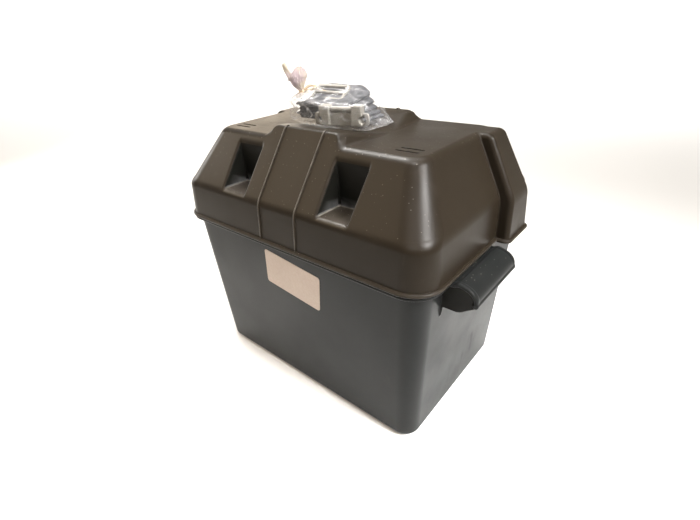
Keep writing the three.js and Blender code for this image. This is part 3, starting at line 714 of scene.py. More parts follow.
def mixColor(tree, share, a, b):
    node = tree.nodes.new("ShaderNodeMix")
    node.data_type = "RGBA"
    sockets = [node.inputs[0], node.inputs[6], node.inputs[7]]
    for socket, value in zip(sockets, (share, a, b)):
        if isinstance(value, bpy.types.NodeSocket):
            tree.links.new(value, socket)
        else:
            socket.default_value = value if isinstance(value, float) else (*value, 1)
    return node.outputs[2]


def bump(tree, shader, layers):
    normal = None
    for height, distance, strength in layers:
        node = addNode(tree, "ShaderNodeBump", Height=height, Distance=distance, Strength=strength)
        if normal:
            tree.links.new(normal, node.inputs["Normal"])
        normal = node.outputs[0]
    tree.links.new(normal, shader.inputs["Normal"])


def mouldedPlastic(name, look):
    # satin polypropylene: fine grain, uneven gloss, rubbed streaks, dust on its upper faces, and
    # highlights painted in from a point attribute
    rough = look["rough"]
    material, tree, shader, place = finish(name, look["base"], rough,
                                           Specular_IOR_Level=look["specular"])
    broad = noiseValue(tree, place, 7.0, 2.0)
    tone = mixColor(tree, spread(tree, broad, 0.35, 0.65), look["base"], look["second"])
    scuff = noiseValue(tree, place, 60.0, 6.0, 0.65, (1.0, 1.0, 0.22))
    scuffShare = spread(tree, scuff, look["scuffFrom"], look["scuffFrom"] + 0.12)
    patch = spread(tree, noiseValue(tree, place, 16.0, 2.0), 0.5, 0.68)
    scuffShare = times(tree, scuffShare, patch)
    tone = mixColor(tree, times(tree, scuffShare, 0.35), tone, look["rubbed"])
    speck = addNode(tree, "ShaderNodeTexVoronoi", Vector=place, Scale=230.0).outputs[0]
    speck = spread(tree, speck, 0.12, 0.06)
    geometry = tree.nodes.new("ShaderNodeNewGeometry")
    normal = addNode(tree, "ShaderNodeSeparateXYZ", Vector=geometry.outputs["Normal"])
    upward = spread(tree, normal.outputs[2], 0.5, 0.95)
    speck = times(tree, times(tree, speck, upward), look["dust"])
    tone = mixColor(tree, speck, tone, dustColor)
    patchy = spread(tree, noiseValue(tree, place, 110.0, 4.0), 0.3, 0.6, (0.45, 1.0))
    # the point attribute paints a pale highlight colour onto the ribs, the lip and the pockets'
    # floors
    paintedHighlight = times(tree, attribute(tree, "paintedHighlight"), patchy)
    tree.links.new(mixColor(tree, paintedHighlight, tone, look["paintedHighlight"]), shader.inputs["Base Color"])
    uneven = spread(tree, noiseValue(tree, place, 22.0, 4.0), 0.3, 0.7,
                    (rough - 0.05, rough + 0.06))
    uneven = combine(tree, "ADD", uneven, times(tree, scuffShare, 0.16))
    tree.links.new(uneven, shader.inputs["Roughness"])
    bump(tree, shader, [(noiseValue(tree, place, 30.0, 3.0), 0.0006, look["wave"]),
                        (noiseValue(tree, place, 1900.0, 2.0), 0.00006, look["grain"])])
    return material


dustColor = (0.5, 0.46, 0.4)
# one black plastic with painted light: the lid's base is tinted warm as if lit from above, the
# tub's cool as if lit from the floor
lidWarmLitLook = {
    "base": (0.0168, 0.0126, 0.0084), "second": (0.0138, 0.0104, 0.0069),
    "rubbed": (0.055, 0.045, 0.034), "paintedHighlight": (0.14, 0.127, 0.11), "rough": 0.33,
    "specular": 0.155, "scuffFrom": 0.56, "dust": 0.45, "wave": 0.12, "grain": 0.5,
}
tubCoolLitLook = {
    "base": (0.0105, 0.0113, 0.0112), "second": (0.0086, 0.0095, 0.0095),
    "rubbed": (0.04, 0.04, 0.038), "paintedHighlight": (0.12, 0.12, 0.115), "rough": 0.36,
    "specular": 0.13, "scuffFrom": 0.58, "dust": 0.25, "wave": 0.10, "grain": 0.5,
}
# a darker, duller black for the pockets' walls, the vents' sides and the handles' hollows: its
# lower base colour is painted shade, its higher roughness is real
paintedShadeLook = {
    "base": (0.007, 0.0068, 0.0055), "second": (0.005, 0.005, 0.0042),
    "rubbed": (0.02, 0.018, 0.015), "paintedHighlight": (0.10, 0.10, 0.10), "rough": 0.5,
    "specular": 0.12, "scuffFrom": 0.6, "dust": 0.1, "wave": 0.10, "grain": 0.5,
}
lidPlastic = mouldedPlastic("lid_black_plastic", lidWarmLitLook)
tubPlastic = mouldedPlastic("tub_black_plastic", tubCoolLitLook)
paintedShadePlastic = mouldedPlastic("dull_black_plastic_painted_shade", paintedShadeLook)

paperLook = {"base": (0.43, 0.35, 0.29), "rough": 0.62, "gloss": (0.55, 0.7),
             "tones": ((0.41, 0.33, 0.27), (0.455, 0.375, 0.315)), "stain": (0.34, 0.265, 0.215)}


def paperFinish(look):
    material, tree, shader, place = finish("label_paper", look["base"], look["rough"])
    fibre = noiseValue(tree, place, 420.0, 5.0, 0.6)
    stain = spread(tree, noiseValue(tree, place, 26.0, 3.0), 0.4, 0.75)
    tone = mixColor(tree, spread(tree, fibre, 0.35, 0.65), *look["tones"])
    tone = mixColor(tree, times(tree, stain, 0.3), tone, look["stain"])
    tree.links.new(tone, shader.inputs["Base Color"])
    tree.links.new(spread(tree, fibre, 0.3, 0.7, look["gloss"]), shader.inputs["Roughness"])
    bump(tree, shader, [(noiseValue(tree, place, 45.0, 2.0), 0.0004, 0.25), (fibre, 0.00003, 0.3)])
    return material


# plain finishes that differ by one cloudy noise; bump is a distance and a strength
cloudyLooks = {
    "tie_rubber": {"base": (0.60, 0.47, 0.32), "rough": 0.45, "cloud": (500.0, 4.0),
                   "tones": ((0.52, 0.38, 0.24), (0.72, 0.60, 0.44)), "gloss": (0.35, 0.55),
                   "bump": (0.0001, 0.4), "metallic": 0.0},
    "grey_nylon": {"base": (0.26, 0.245, 0.215), "rough": 0.42, "cloud": (90.0, 3.0),
                   "tones": ((0.225, 0.21, 0.18), (0.30, 0.285, 0.25)), "gloss": (0.36, 0.5),
                   "bump": (0.00005, 0.4), "metallic": 0.0, "grain": (1400.0, 2.0)},
    "zinc_plate": {"base": (0.70, 0.70, 0.71), "rough": 0.3, "cloud": (300.0, 4.0),
                   "tones": ((0.58, 0.58, 0.60), (0.76, 0.75, 0.73)), "gloss": (0.24, 0.42),
                   "bump": (0.00004, 0.3), "metallic": 1.0},
}


def cloudyFinish(name):
    look = cloudyLooks[name]
    material, tree, shader, place = finish(name, look["base"], look["rough"],
                                           Metallic=look["metallic"])
    cloud = noiseValue(tree, place, *look["cloud"])
    tone = mixColor(tree, spread(tree, cloud, 0.35, 0.65), *look["tones"])
    tree.links.new(tone, shader.inputs["Base Color"])
    tree.links.new(spread(tree, cloud, 0.3, 0.7, look["gloss"]), shader.inputs["Roughness"])
    grain = noiseValue(tree, place, *look["grain"]) if "grain" in look else cloud
    bump(tree, shader, [(grain, *look["bump"])])
    return material

webbingLook = {"base": (0.018, 0.02, 0.026), "rough": 0.72, "fuzz": (0.075, 0.078, 0.086),
               "tones": ((0.012, 0.0135, 0.018), (0.038, 0.041, 0.050)),
               "pitch": (0.0014, 0.0021), "slant": 900.0}


def webbingFinish(look):
    # flat webbing: ribs across the band, crossed by the slant of the twill
    material, tree, shader, place = finish("woven_webbing", look["base"], look["rough"],
                                           Sheen_Weight=0.1)
    parts = addNode(tree, "ShaderNodeSeparateXYZ", Vector=place).outputs
    along, over = [times(tree, parts[i], 2 * math.pi / look["pitch"][i]) for i in (0, 1)]
    along = combine(tree, "ADD", along, times(tree, parts[1], look["slant"]))
    along, over = [combine(tree, "SINE", turns, 0.0) for turns in (along, over)]
    weave = times(tree, along, over)
    fuzz = noiseValue(tree, place, 900.0, 4.0)
    tone = mixColor(tree, spread(tree, weave, -0.6, 0.8), *look["tones"])
    tone = mixColor(tree, times(tree, fuzz, 0.35), tone, look["fuzz"])
    tree.links.new(tone, shader.inputs["Base Color"])
    bump(tree, shader, [(weave, 0.0003, 0.7), (fuzz, 0.0001, 0.4)])
    return material


# how much each attribute adds to the film's opacity, and the colours it brings
filmLook = {
    "base": (0.62, 0.62, 0.64), "rough": 0.14, "haze": (0.04, 0.12), "edge": (0.0, 0.62),
    "creaseGlintShare": 0.75, "gatherShare": 0.72, "veilShare": 0.75, "most": 0.95,
    "clear": ((0.5, 0.5, 0.52), (0.24, 0.235, 0.235)), "creaseGlint": (0.66, 0.66, 0.66),
    "gathered": ((0.50, 0.41, 0.43), (0.53, 0.46, 0.37)), "veil": (0.36, 0.345, 0.31),
}


def filmFinish(look):
    # clear film: nearly unseen face on; greyer edge on and where it is gathered; whiter and more
    # opaque along its creases, where the whiteness is a painted glint
    material, tree, shader, place = finish("clear_film", look["base"], look["rough"])
    facing = addNode(tree, "ShaderNodeLayerWeight", Blend=0.35).outputs["Facing"]
    creaseGlint, gather, veil = [attribute(tree, name) for name in ("creaseGlint", "gather", "veil")]
    haze = spread(tree, noiseValue(tree, place, 120.0, 5.0, 0.65), 0.35, 0.75, look["haze"])
    alpha = combine(tree, "ADD", spread(tree, facing, 0.7, 0.97, look["edge"]), haze)
    for share, key in ((creaseGlint, "creaseGlintShare"), (gather, "gatherShare"), (veil, "veilShare")):
        alpha = combine(tree, "ADD", alpha, times(tree, share, look[key]))
    tree.links.new(combine(tree, "MINIMUM", alpha, look["most"]), shader.inputs["Alpha"])
    blush = spread(tree, noiseValue(tree, place, 70.0, 3.0), 0.4, 0.6)
    tone = mixColor(tree, spread(tree, facing, 0.6, 0.95), *look["clear"])
    tone = mixColor(tree, creaseGlint, tone, look["creaseGlint"])
    tone = mixColor(tree, veil, tone, look["veil"])
    tone = mixColor(tree, gather, tone, mixColor(tree, blush, *look["gathered"]))
    tree.links.new(tone, shader.inputs["Base Color"])
    bump(tree, shader, [(noiseValue(tree, place, 160.0, 4.0), 0.0007, 0.5),
                        (noiseValue(tree, place, 700.0, 3.0), 0.0002, 0.35)])
    material.surface_render_method = "BLENDED"
    return material


paper = paperFinish(paperLook)
tieRubber = cloudyFinish("tie_rubber")
nylon = cloudyFinish("grey_nylon")
webbing = webbingFinish(webbingLook)
zinc = cloudyFinish("zinc_plate")
film = filmFinish(filmLook)

# The strap: webbing swept along its folded path


def foldedPath():
    run, back, layers = fittings["strapRun"], fittings["stepBack"], fittings["strapLayers"]
    turn = strapPitch / 2
    points = []
    for layer in range(layers):
        direction = 1 if layer % 2 == 0 else -1
        left = -run / 2
        here = run / 2 - back * (layer + layer % 2)
        start = left if direction > 0 else here
        end = run / 2 - back * layer if direction > 0 else left
        up = layer * strapPitch
        steps = 14
        for i in range(steps + 1):
            share = i / steps
            # each layer but the lowest waves a little
            lift = 0.0 if layer == 0 else (
                0.22 * math.sin(share * math.pi * 2.0 + layer * 1.7) * math.sin(share * math.pi))
            points.append((start + (end - start) * share, up + lift))
        for i in range(1, 6):
            if layer + 1 < layers:
                angle = math.pi * i / 6
                points.append((end + direction * math.sin(angle) * turn,
                               up + turn - math.cos(angle) * turn))
    return points


strapPath = foldedPath()


def bandTree():
    tree = nodeTree("webbing_band", [("Width", "NodeSocketFloat", 0.038),
                                     ("Thickness", "NodeSocketFloat", 0.0012)])
    ins = tree.nodes.new("NodeGroupInput")
    profile = addNode(tree, "GeometryNodeCurvePrimitiveQuadrilateral", Width=ins.outputs["Width"],
                      Height=ins.outputs["Thickness"])
    soft = addNode(tree, "GeometryNodeFilletCurve", {"mode": "POLY"}, Curve=profile.outputs[0])
    soft.inputs["Radius"].default_value = 0.00045
    soft.inputs["Count"].default_value = 3
    straight = addNode(tree, "GeometryNodeSetCurveNormal", Curve=ins.outputs[0])
    swept = addNode(tree, "GeometryNodeCurveToMesh", Curve=straight.outputs[0])
    tree.links.new(soft.outputs[0], swept.inputs["Profile Curve"])
    swept.inputs["Fill Caps"].default_value = True
    finishTree(tree, swept.outputs[0], webbing)
    return tree


def strapPiece():
    curve = bpy.data.curves.new("strap_path", "CURVE")
    curve.dimensions = "3D"
    spline = curve.splines.new("POLY")
    spline.points.add(len(strapPath) - 1)
    x0, y0 = fittings["middle"]
    z0 = insideFloor + fittings["strapThick"] / 2
    for point, (along, up) in zip(spline.points, strapPath):
        point.co = ((x0 + along) * mm, y0 * mm, (z0 + up) * mm, 1)
    holder = linked("strap_path", curve)
    values = {"Width": fittings["strapWidth"] * mm, "Thickness": fittings["strapThick"] * mm}
    return runTree(holder, bandTree(), values, "folded_strap")


bulge = {"rise": (-4.4, 10.7), "high": 10.6, "backEdge": 13.0,
         "leftX": (-47.0, -41.0), "rightX": (2.0, 30.0)}


def bulgeStrap(piece):
    # the upper layers rise towards the back, as far as the leaning buckle lets them
    spots = meshPoints(piece)
    x, y, z = spots.T
    share = np.clip((z - insideFloor) / (strapTop - insideFloor), 0, 1) ** 1.4
    low, top = bulge["rise"]
    lift = np.interp(y, (low, top, fittings["middle"][1] + 19),
                     (0, bulge["high"], bulge["backEdge"]))
    window = ramp(x, *bulge["leftX"]) * (1 - ramp(x, *bulge["rightX"]))
    spots[:, 2] = z + lift * window * share
    piece.data.vertices.foreach_set("co", (spots * mm).ravel())
    piece.data.update()


strapMesh = strapPiece()
bulgeStrap(strapMesh)

# The screws: one turned and threaded screw, put on four points

screw = {"shank": 4.0, "length": 19.0, "head": 8.4, "headHeight": 2.6, "tip": 4.0, "gap": 1.0,
         "pitch": 1.5, "threadDepth": 0.45, "sides": 24}


def screwMesh():
    length, headZ = screw["length"], screw["length"] - screw["headHeight"]
    rings = []
    steps = 56
    for i in range(steps + 1):
        up = 0.3 + (headZ - 0.3) * i / steps
        core = (screw["shank"] / 2 - screw["threadDepth"]) * min(1.0, 0.15 + up / screw["tip"])
        depth = min(1.0, up / 2.0, max(0.0, (headZ - up) / 1.5))
        rings.append((up, core, screw["threadDepth"] * depth))
    sides = screw["sides"]
    turns = [2 * math.pi * k / sides for k in range(sides)]
    points, faces = [], []

    def addRing(radii, up):
        points.extend((radius * math.cos(angle), radius * math.sin(angle), up)
                      for radius, angle in zip(radii, turns))

    for up, core, depth in rings:
        phases = [(up / screw["pitch"] - k / sides) % 1.0 for k in range(sides)]
        addRing([core + depth * max(0.0, 1 - abs(phase - 0.5) / 0.28) for phase in phases], up)
    for below, inset in ((0.5, 0.1), (0.25, 0.0), (0.0, 0.35), (0.0, 0.9)):
        addRing([screw["head"] / 2 - inset] * sides, length - below)
    # a cross recess, as two rings that follow a four-armed star
    for below, scale in ((0.0, 1.0), (1.3, 0.72)):
        addRing([(2.3 * abs(math.cos(2 * angle)) ** 1.5 + 0.75) * scale for angle in turns],
                length - below)
    count = len(points) // sides
    for ring in range(count - 1):
        for k in range(sides):
            a, b = ring * sides + k, ring * sides + (k + 1) % sides
            faces.append((a, b, b + sides, a + sides))
    tipPoint, deepPoint = len(points), len(points) + 1
    points += [(0, 0, 0), (0, 0, length - 1.35)]
    for k in range(sides):
        nextK = (k + 1) % sides
        faces.append((tipPoint, nextK, k))
        faces.append((deepPoint, (count - 1) * sides + k, (count - 1) * sides + nextK))
    return plainMesh("screw_source", [(x * mm, y * mm, z * mm) for x, y, z in points], faces)


def screwTree():
    tree = nodeTree("screws_on_points", [("Screw", "NodeSocketObject", None),
                                         ("Turn", "NodeSocketFloat", 0.4)])
    ins = tree.nodes.new("NodeGroupInput")
    source = addNode(tree, "GeometryNodeObjectInfo", Object=ins.outputs["Screw"])
    index = tree.nodes.new("GeometryNodeInputIndex").outputs[0]
    spin = times(tree, index, ins.outputs["Turn"])
    roll = addNode(tree, "ShaderNodeCombineXYZ", X=-math.pi / 2, Y=0.0)
    own = addNode(tree, "ShaderNodeCombineXYZ", Z=spin)
    rolled, ownTurn = [addNode(tree, "FunctionNodeEulerToRotation", n0=turn.outputs[0])
                       for turn in (roll, own)]
    turned = addNode(tree, "FunctionNodeRotateRotation", {"rotation_space": "LOCAL"},
                     n0=rolled.outputs[0], n1=ownTurn.outputs[0])
    placed = addNode(tree, "GeometryNodeInstanceOnPoints", Points=ins.outputs[0],
                     Instance=source.outputs["Geometry"], Rotation=turned.outputs[0])
    finishTree(tree, placed.outputs[0], zinc)
    return tree


def screwPieces():
    source = screwMesh()
    taken = fittings["strapRun"] + strapPitch + fittings["strapThick"] + screw["head"]
    x = -taken / 2 - fittings["gap"]
    spots = []
    for place in range(4):
        middleY = (screw["length"] + screw["gap"]) * (place % 2 - 0.5)
        z = insideFloor + screw["head"] / 2 + (place // 2) * (screw["head"] + fittings["gap"])
        spot = placedMatrix(x, middleY - screw["length"] / 2, z).translation
        spots.append(tuple(spot * mm))
    holder = plainMesh("screw_points", spots, [])
    piece = runTree(holder, screwTree(), {"Screw": source, "Turn": 0.7}, "bracket_screws")
    bpy.data.objects.remove(source, do_unlink=True)
    return piece


screws = screwPieces()


# The bag's film: drawn tight over its pieces, gathered at the neck

bag = {
    "margin": 1.1, "middle": (-8.0, -2.0, 288.0), "neckShift": (2.6, 2.2, -4.2),
    "veilReach": 11.0, "gatherReach": 4.5, "rings": 150, "around": 240,
    "seam": [(43.6, -24.0, 276.4), (43.9, 20.0, 275.9), (-57.0, -21.0, 296.0),
             (-57.0, -21.0, 279.0)],
    "neckRadius": 3.4, "pleats": 15, "pleatDepth": 1.1, "pleatReach": 24.0, "wander": 2.4,
    "foldDepth": 0.8, "crumple": 0.3, "sag": 2.2, "seed": 7, "tailSteps": 40,
    # a little over the lid's deck, and how far from the middle its towers' outer faces start
    "clear": 0.45, "towerFootY": 57.55,
    # each fold's height, width, painted glint whiteness and route
    "folds": [
        (1.0, 2.0, 0.22, [(-43.4, -20.9, 301.8), (-12.5, -33.1, 299.6), (6.3, -36.0, 295.7),
                          (10.0, -34.7, 290.1)]),
        (0.7, 0.8, 0.75, [(-26.8, -28.5, 295.5), (-18.1, -32.6, 292.4), (-10.5, -35.1, 288.5),
                          (-14.7, -34.1, 285.5)]),
        (0.6, 0.7, 0.6, [(-30.9, -25.6, 302.7), (-16.0, -30.7, 300.9)]),
        (0.5, 0.7, 0.5, [(0.9, -29.5, 300.9), (1.7, -22.5, 302.7), (0.5, -14.7, 305.2)]),
        (0.8, 0.6, 0.8, [(-52.0, -23.0, 288.5), (-25.6, -29.3, 283.1), (-8.0, -35.5, 279.0)]),
        (0.8, 0.9, 0.5, [(1.8, 0.0, 307.5), (16.7, -0.6, 303.1), (28.6, -1.2, 296.3),
                         (43.5, 0.0, 281.0)]),
        (0.6, 0.8, 0.6, [(43.6, -24.0, 277.0), (43.9, 20.0, 276.5)])],
    # height over the tie, left edge, right edge and half depth of the puff
    "tailRows": [(0.0, -3.6, 2.8, 2.8), (1.0, -2.8, 2.2, 2.3), (2.5, -4.4, 2.4, 2.6),
                 (6.0, -9.0, 2.8, 3.8), (10.0, -11.8, 4.8, 4.4), (14.0, -12.4, 6.0, 4.4),
                 (18.0, -10.2, 5.8, 3.6), (20.5, -7.8, 4.6, 2.6), (22.0, -4.6, 2.4, 1.5),
                 (22.6, -1.8, 0.2, 0.3)],
    # the twisted corner: its middle at three places, its radius at four, its rings and sides
    "corner": [(-10.2, 0.0, 11.5), (-13.2, 0.3, 19.0), (-16.2, 0.5, 26.6)],
    "cornerAt": (0, 0.45, 1), "cornerRadii": ((0, 0.45, 0.9, 1.0), (2.9, 2.4, 2.1, 1.0)),
    "cornerSteps": 24, "cornerSides": 20,
}
tailRight, tailDeep = np.array([0.762, 0.648, 0.0]), np.array([-0.648, 0.762, 0.0])
neckX, neckY = [fittings["middle"][i] + fittings["neck"][i] for i in (0, 1)]
neckSpot = (np.array([neckX, neckY, strapTop + fittings["gap"] + fittings["neckRise"]])
            + np.array(bag["neckShift"]))

# the film's rings go round a pole from the middle of the bag to its neck
filmMiddle = np.array(bag["middle"])
pole = neckSpot - filmMiddle
neckFar = np.linalg.norm(pole)
pole /= neckFar
sideways = np.cross(pole, [0, 1.0, 0])
sideways /= np.linalg.norm(sideways)
across = np.cross(pole, sideways)
filmTurns = np.linspace(0, 2 * math.pi, bag["around"], endpoint=False)


def hullPlanes(points):
    work = bmesh.new()
    for point in points:
        work.verts.new(point)
    bmesh.ops.convex_hull(work, input=work.verts)
    planes = {}
    for face in work.faces:
        normal = face.normal
        key = tuple(round(v, 2) for v in normal)
        planes[key] = (normal.copy(), normal.dot(face.verts[0].co))
    work.free()
    normals = np.array([n for n, _ in planes.values()])
    reach = np.array([h for _, h in planes.values()])
    return normals, reach


def deckUnder(y):
    steep = lid["towerRise"] / (bag["towerFootY"] - lid["towerDepth"] - lid["valley"])
    return lid["top"] + np.maximum(np.abs(y) - lid["valley"], 0) * steep


def ridge(value, sharp):
    return max(0.0, 1 - abs(value)) ** sharp


def routeDistance(spots, route):
    # how far each spot is from a line of points
    far = np.full(spots.shape[:-1], 1e9)
    for a, b in zip(route, route[1:]):
        along = np.clip(((spots - a) @ (b - a)) / ((b - a) @ (b - a)), 0, 1)
        far = np.minimum(far, np.linalg.norm(spots - a - along[..., None] * (b - a), axis=-1))
    return far


def hullRings(pieces):
    # rings of spots on the hull of the bag's contents, from the neck round to the far end
    points = np.array([p for piece in pieces for p in meshPoints(piece)[::3]])
    around = np.concatenate([points + np.array(way) * bag["margin"] for way in
                             ((1, 0, 0), (-1, 0, 0), (0, 1, 0), (0, -1, 0), (0, 0, 1), (0, 0, -1))])
    ringAngles = np.linspace(0, 2 * math.pi, 12, endpoint=False)
    neckRing = neckSpot + bag["neckRadius"] * np.stack(
        [np.cos(ringAngles), np.sin(ringAngles), np.zeros(12)], 1)
    normals, reach = hullPlanes(np.concatenate([around, neckRing, np.array(bag["seam"])]))
    reach = reach - normals @ filmMiddle
    first = math.asin(bag["neckRadius"] / neckFar)
    tilt = first + (math.pi - first) * np.linspace(0, 1, bag["rings"])
    tiltGrid, turnGrid = np.meshgrid(tilt, filmTurns, indexing="ij")
    ways = (np.cos(tiltGrid)[..., None] * pole
            + np.sin(tiltGrid)[..., None] * (np.cos(turnGrid)[..., None] * sideways
                                             + np.sin(turnGrid)[..., None] * across))
    flat = ways.reshape(-1, 3)
    facing = flat @ normals.T
    far = np.min(np.where(facing > tiny, reach / np.maximum(facing, tiny), 1e9), axis=1)
    spots = (filmMiddle + flat * far[:, None]).reshape(bag["rings"], bag["around"], 3)
    for _ in range(3):    # the film turns softly over corners
        spots[1:-1] = 0.5 * spots[1:-1] + 0.125 * (
            spots[2:] + spots[:-2] + np.roll(spots, 1, 1)[1:-1] + np.roll(spots, -1, 1)[1:-1])
    return spots, ways


def creasedRings(spots, ways):
    # pleats from the neck, two kinds of fold, a fine crumple, and the folds of the settings, each
    # also whitened along its crease as a painted glint
    creaseGlint = np.zeros(spots.shape[:2])
    for i, k in product(range(bag["rings"]), range(bag["around"])):
        spot = spots[i, k]
        fromNeck = float(np.linalg.norm(spot - neckSpot))
        at = Vector(spot)
        wander = bag["wander"] * noise.noise(at / 15 + Vector((bag["seed"], 0, 0)))
        pleat = ridge(math.sin(filmTurns[k] * bag["pleats"] / 2 + wander), 3.0)
        pleat *= math.exp(-fromNeck / bag["pleatReach"])
        wave = noise.noise(Vector((at.x / 26, at.y / 13, at.z / 10 + bag["seed"])))
        fold = ridge(2.6 * wave, 5.0)
        second = ridge(2.8 * noise.noise(Vector((at.x / 11 + 9, at.y / 24, at.z / 13))), 6.0)
        small = noise.noise(at / 4.5)
        lift = (bag["pleatDepth"] * pleat + bag["foldDepth"] * (fold + 0.7 * second)
                + bag["crumple"] * small + 0.2)
        spots[i, k] += ways[i, k] * lift
        # the crease value whitens the film here, as a painted glint
        creaseGlint[i, k] = min(1.0, 0.35 * pleat + 0.4 * fold ** 1.5 + 0.35 * second ** 1.5)
    for high, wide, white, route in bag["folds"]:
        near = np.exp(-(routeDistance(spots, np.array(route, float)) / wide) ** 2)
        spots = spots + ways * (high * near)[..., None]
        # each listed fold's whiteness paints a glint along its route
        creaseGlint = np.minimum(1.0, creaseGlint + white * near)
    # the underside sags into the valley, and nothing goes below the deck
    under = spots[..., 2] < bagFloor + 1.5
    sagY = np.clip((38 - np.abs(spots[..., 1])) / 20, 0, 1)
    sagX = np.clip((50 - np.abs(spots[..., 0] + 6)) / 20, 0, 1)
    spots[..., 2] = np.where(under, spots[..., 2] - bag["sag"] * sagY * sagX, spots[..., 2])
    spots[..., 2] = np.maximum(spots[..., 2], deckUnder(spots[..., 1]) + bag["clear"])
    return spots, creaseGlint


def puffRings():
    # the puff above the tie, as more rings from its top down
    rows = np.array(bag["tailRows"])
    rings, creaseGlints = [], []
    for i in range(1, bag["tailSteps"] + 1):
        share = i / bag["tailSteps"]
        up = rows[-1, 0] * (1 - (1 - share) ** 1.4)
        left, right, deep = [np.interp(up, rows[:, 0], rows[:, column]) for column in (1, 2, 3)]
        middleAside, half = (left + right) / 2, (right - left) / 2
        ring, shade = [], []
        for angle in filmTurns:
            way = math.cos(angle) * sideways + math.sin(angle) * across
            aside, away = float(way @ tailRight), float(way @ tailDeep)
            length = max(math.hypot(aside, away), tiny)
            aside, away = aside / length, away / length
            wander = bag["wander"] * noise.noise(Vector((aside * 2, away * 2, up / 7 + 3)))
            pleat = ridge(math.sin(angle * bag["pleats"] / 2 + wander + up / 9), 2.5)
            size = 1 - (0.06 + 0.12 * min(1.0, up / 5)) * (1 - pleat)
            size += 0.12 * noise.noise(Vector((aside * 1.5, away * 1.5, up / 6)))
            rise = up + 1.6 * share ** 2 * noise.noise(Vector((aside * 3, away * 3, 5.0)))
            ring.append(neckSpot + tailRight * (middleAside + half * aside * size)
                        + tailDeep * (deep * away * size) + np.array([0, 0, rise]))
            shade.append(min(1.0, 0.15 + 0.7 * pleat))
        rings.append(ring)
        creaseGlints.append(shade)
    return np.array(rings)[::-1], np.array(creaseGlints)[::-1]


def twistedCorner(base):
    # a twisted corner of the bag stands up beside the puff; its points count on from base
    steps, sides = bag["cornerSteps"], bag["cornerSides"]
    points, creaseGlints, faces = [], [], []
    for i in range(steps + 1):
        share = i / steps
        aside, away, rise = [np.interp(share, bag["cornerAt"], column)
                             for column in zip(*bag["corner"])]
        radius = np.interp(share, *bag["cornerRadii"])
        for k in range(sides):
            angle = 2 * math.pi * k / sides
            twist = math.sin(3 * angle + 7 * share)
            size = radius * (1 + 0.22 * twist)
            spot = (neckSpot + tailRight * (aside + size * math.cos(angle) * 0.95)
                    + tailDeep * (away + size * 0.6 * math.sin(angle)))
            up = np.array([0, 0, rise + 0.3 * size * math.cos(angle)])
            points.append((spot + up).tolist())
            creaseGlints.append(0.3 + 0.3 * twist ** 2)
            if i:
                a, b = [base + (i - 1) * sides + at % sides for at in (k, k + 1)]
                faces.append((a, b, b + sides, a + sides))
    faces.append(tuple(base + k for k in range(sides))[::-1])
    faces.append(tuple(base + steps * sides + k for k in range(sides)))
    return points, creaseGlints, faces


def filmPiece(pieces):
    spots, creaseGlint = creasedRings(*hullRings(pieces))
    puff, puffCreaseGlint = puffRings()
    rings = np.concatenate([puff, spots[:-1]])
    count, total = bag["around"], len(rings)
    fromTie = np.linalg.norm(spots[:-1] - neckSpot, axis=2)
    inPuff = bag["tailSteps"] * count
    vertices = rings.reshape(-1, 3).tolist()
    creaseGlints = np.concatenate([puffCreaseGlint, creaseGlint[:-1]]).ravel().tolist()
    gathers = [1.0] * inPuff + np.exp(-fromTie / bag["gatherReach"]).ravel().tolist()
    veils = [0.0] * inPuff + np.exp(-(fromTie / bag["veilReach"]) ** 2).ravel().tolist()
    topPoint, lowPoint, last = len(vertices), len(vertices) + 1, (total - 1) * count
    vertices += [rings[0].mean(0).tolist(), spots[-1].mean(0).tolist()]
    creaseGlints += [0.5, 0.0]
    gathers += [1.0, 0.0]
    faces = []
    for i, k in product(range(total - 1), range(count)):
        a, b = i * count + k, i * count + (k + 1) % count
        faces.append((a, a + count, b + count, b))
    for k in range(count):
        nextK = (k + 1) % count
        faces.append((topPoint, k, nextK))
        faces.append((lowPoint, last + nextK, last + k))
    points, cornerCreaseGlints, cornerFaces = twistedCorner(len(vertices))
    gathers += [1.0] * len(points)
    veils += [0.0] * (2 + len(points))
    piece = plainMesh("bag_film", [(x * mm, y * mm, z * mm) for x, y, z in vertices + points],
                      faces + cornerFaces)
    for label, values in (("creaseGlint", creaseGlints + cornerCreaseGlints), ("gather", gathers),
                          ("veil", veils)):
        piece.data.attributes.new(label, "FLOAT", "POINT").data.foreach_set("value", values)
    work = bmesh.new()
    work.from_mesh(piece.data)
    bmesh.ops.recalc_face_normals(work, faces=work.faces)
    work.to_mesh(piece.data)
    work.free()
    smooth(piece.data)
    piece.data.materials.append(film)
    print(f"film: {len(piece.data.vertices)} points")
    return piece


filmMesh = filmPiece([frontBracket, backBracket, bucklePiece, strapMesh, screws])

tie = {
    "thick": 0.55, "turns": 3.2, "rise": 2.6, "reach": 3.4, "steps": 60,
    "loops": [
        [(2.5, -1.5, 2.0), (7.0, -2.5, 5.8), (12.0, -2.0, 5.6), (15.6, -1.5, 3.2),
         (12.0, -0.6, 1.6), (3.0, -1.2, 1.2)],
        [(2.2, -1.8, 3.0), (5.0, -3.0, 6.6), (9.0, -2.6, 7.0), (12.6, -1.8, 4.6),
         (9.0, -1.4, 2.6), (2.6, -2.0, 0.6)],
        [(2.6, -1.0, 1.4), (8.0, -1.2, 3.4), (14.0, -0.8, 2.2), (18.0, 0.0, 1.6),
         (23.5, 0.6, -0.2)],
        [(2.0, 0.8, 2.4), (6.0, 1.0, 5.0), (10.0, 0.8, 6.4), (14.5, 0.4, 5.6)]],
}


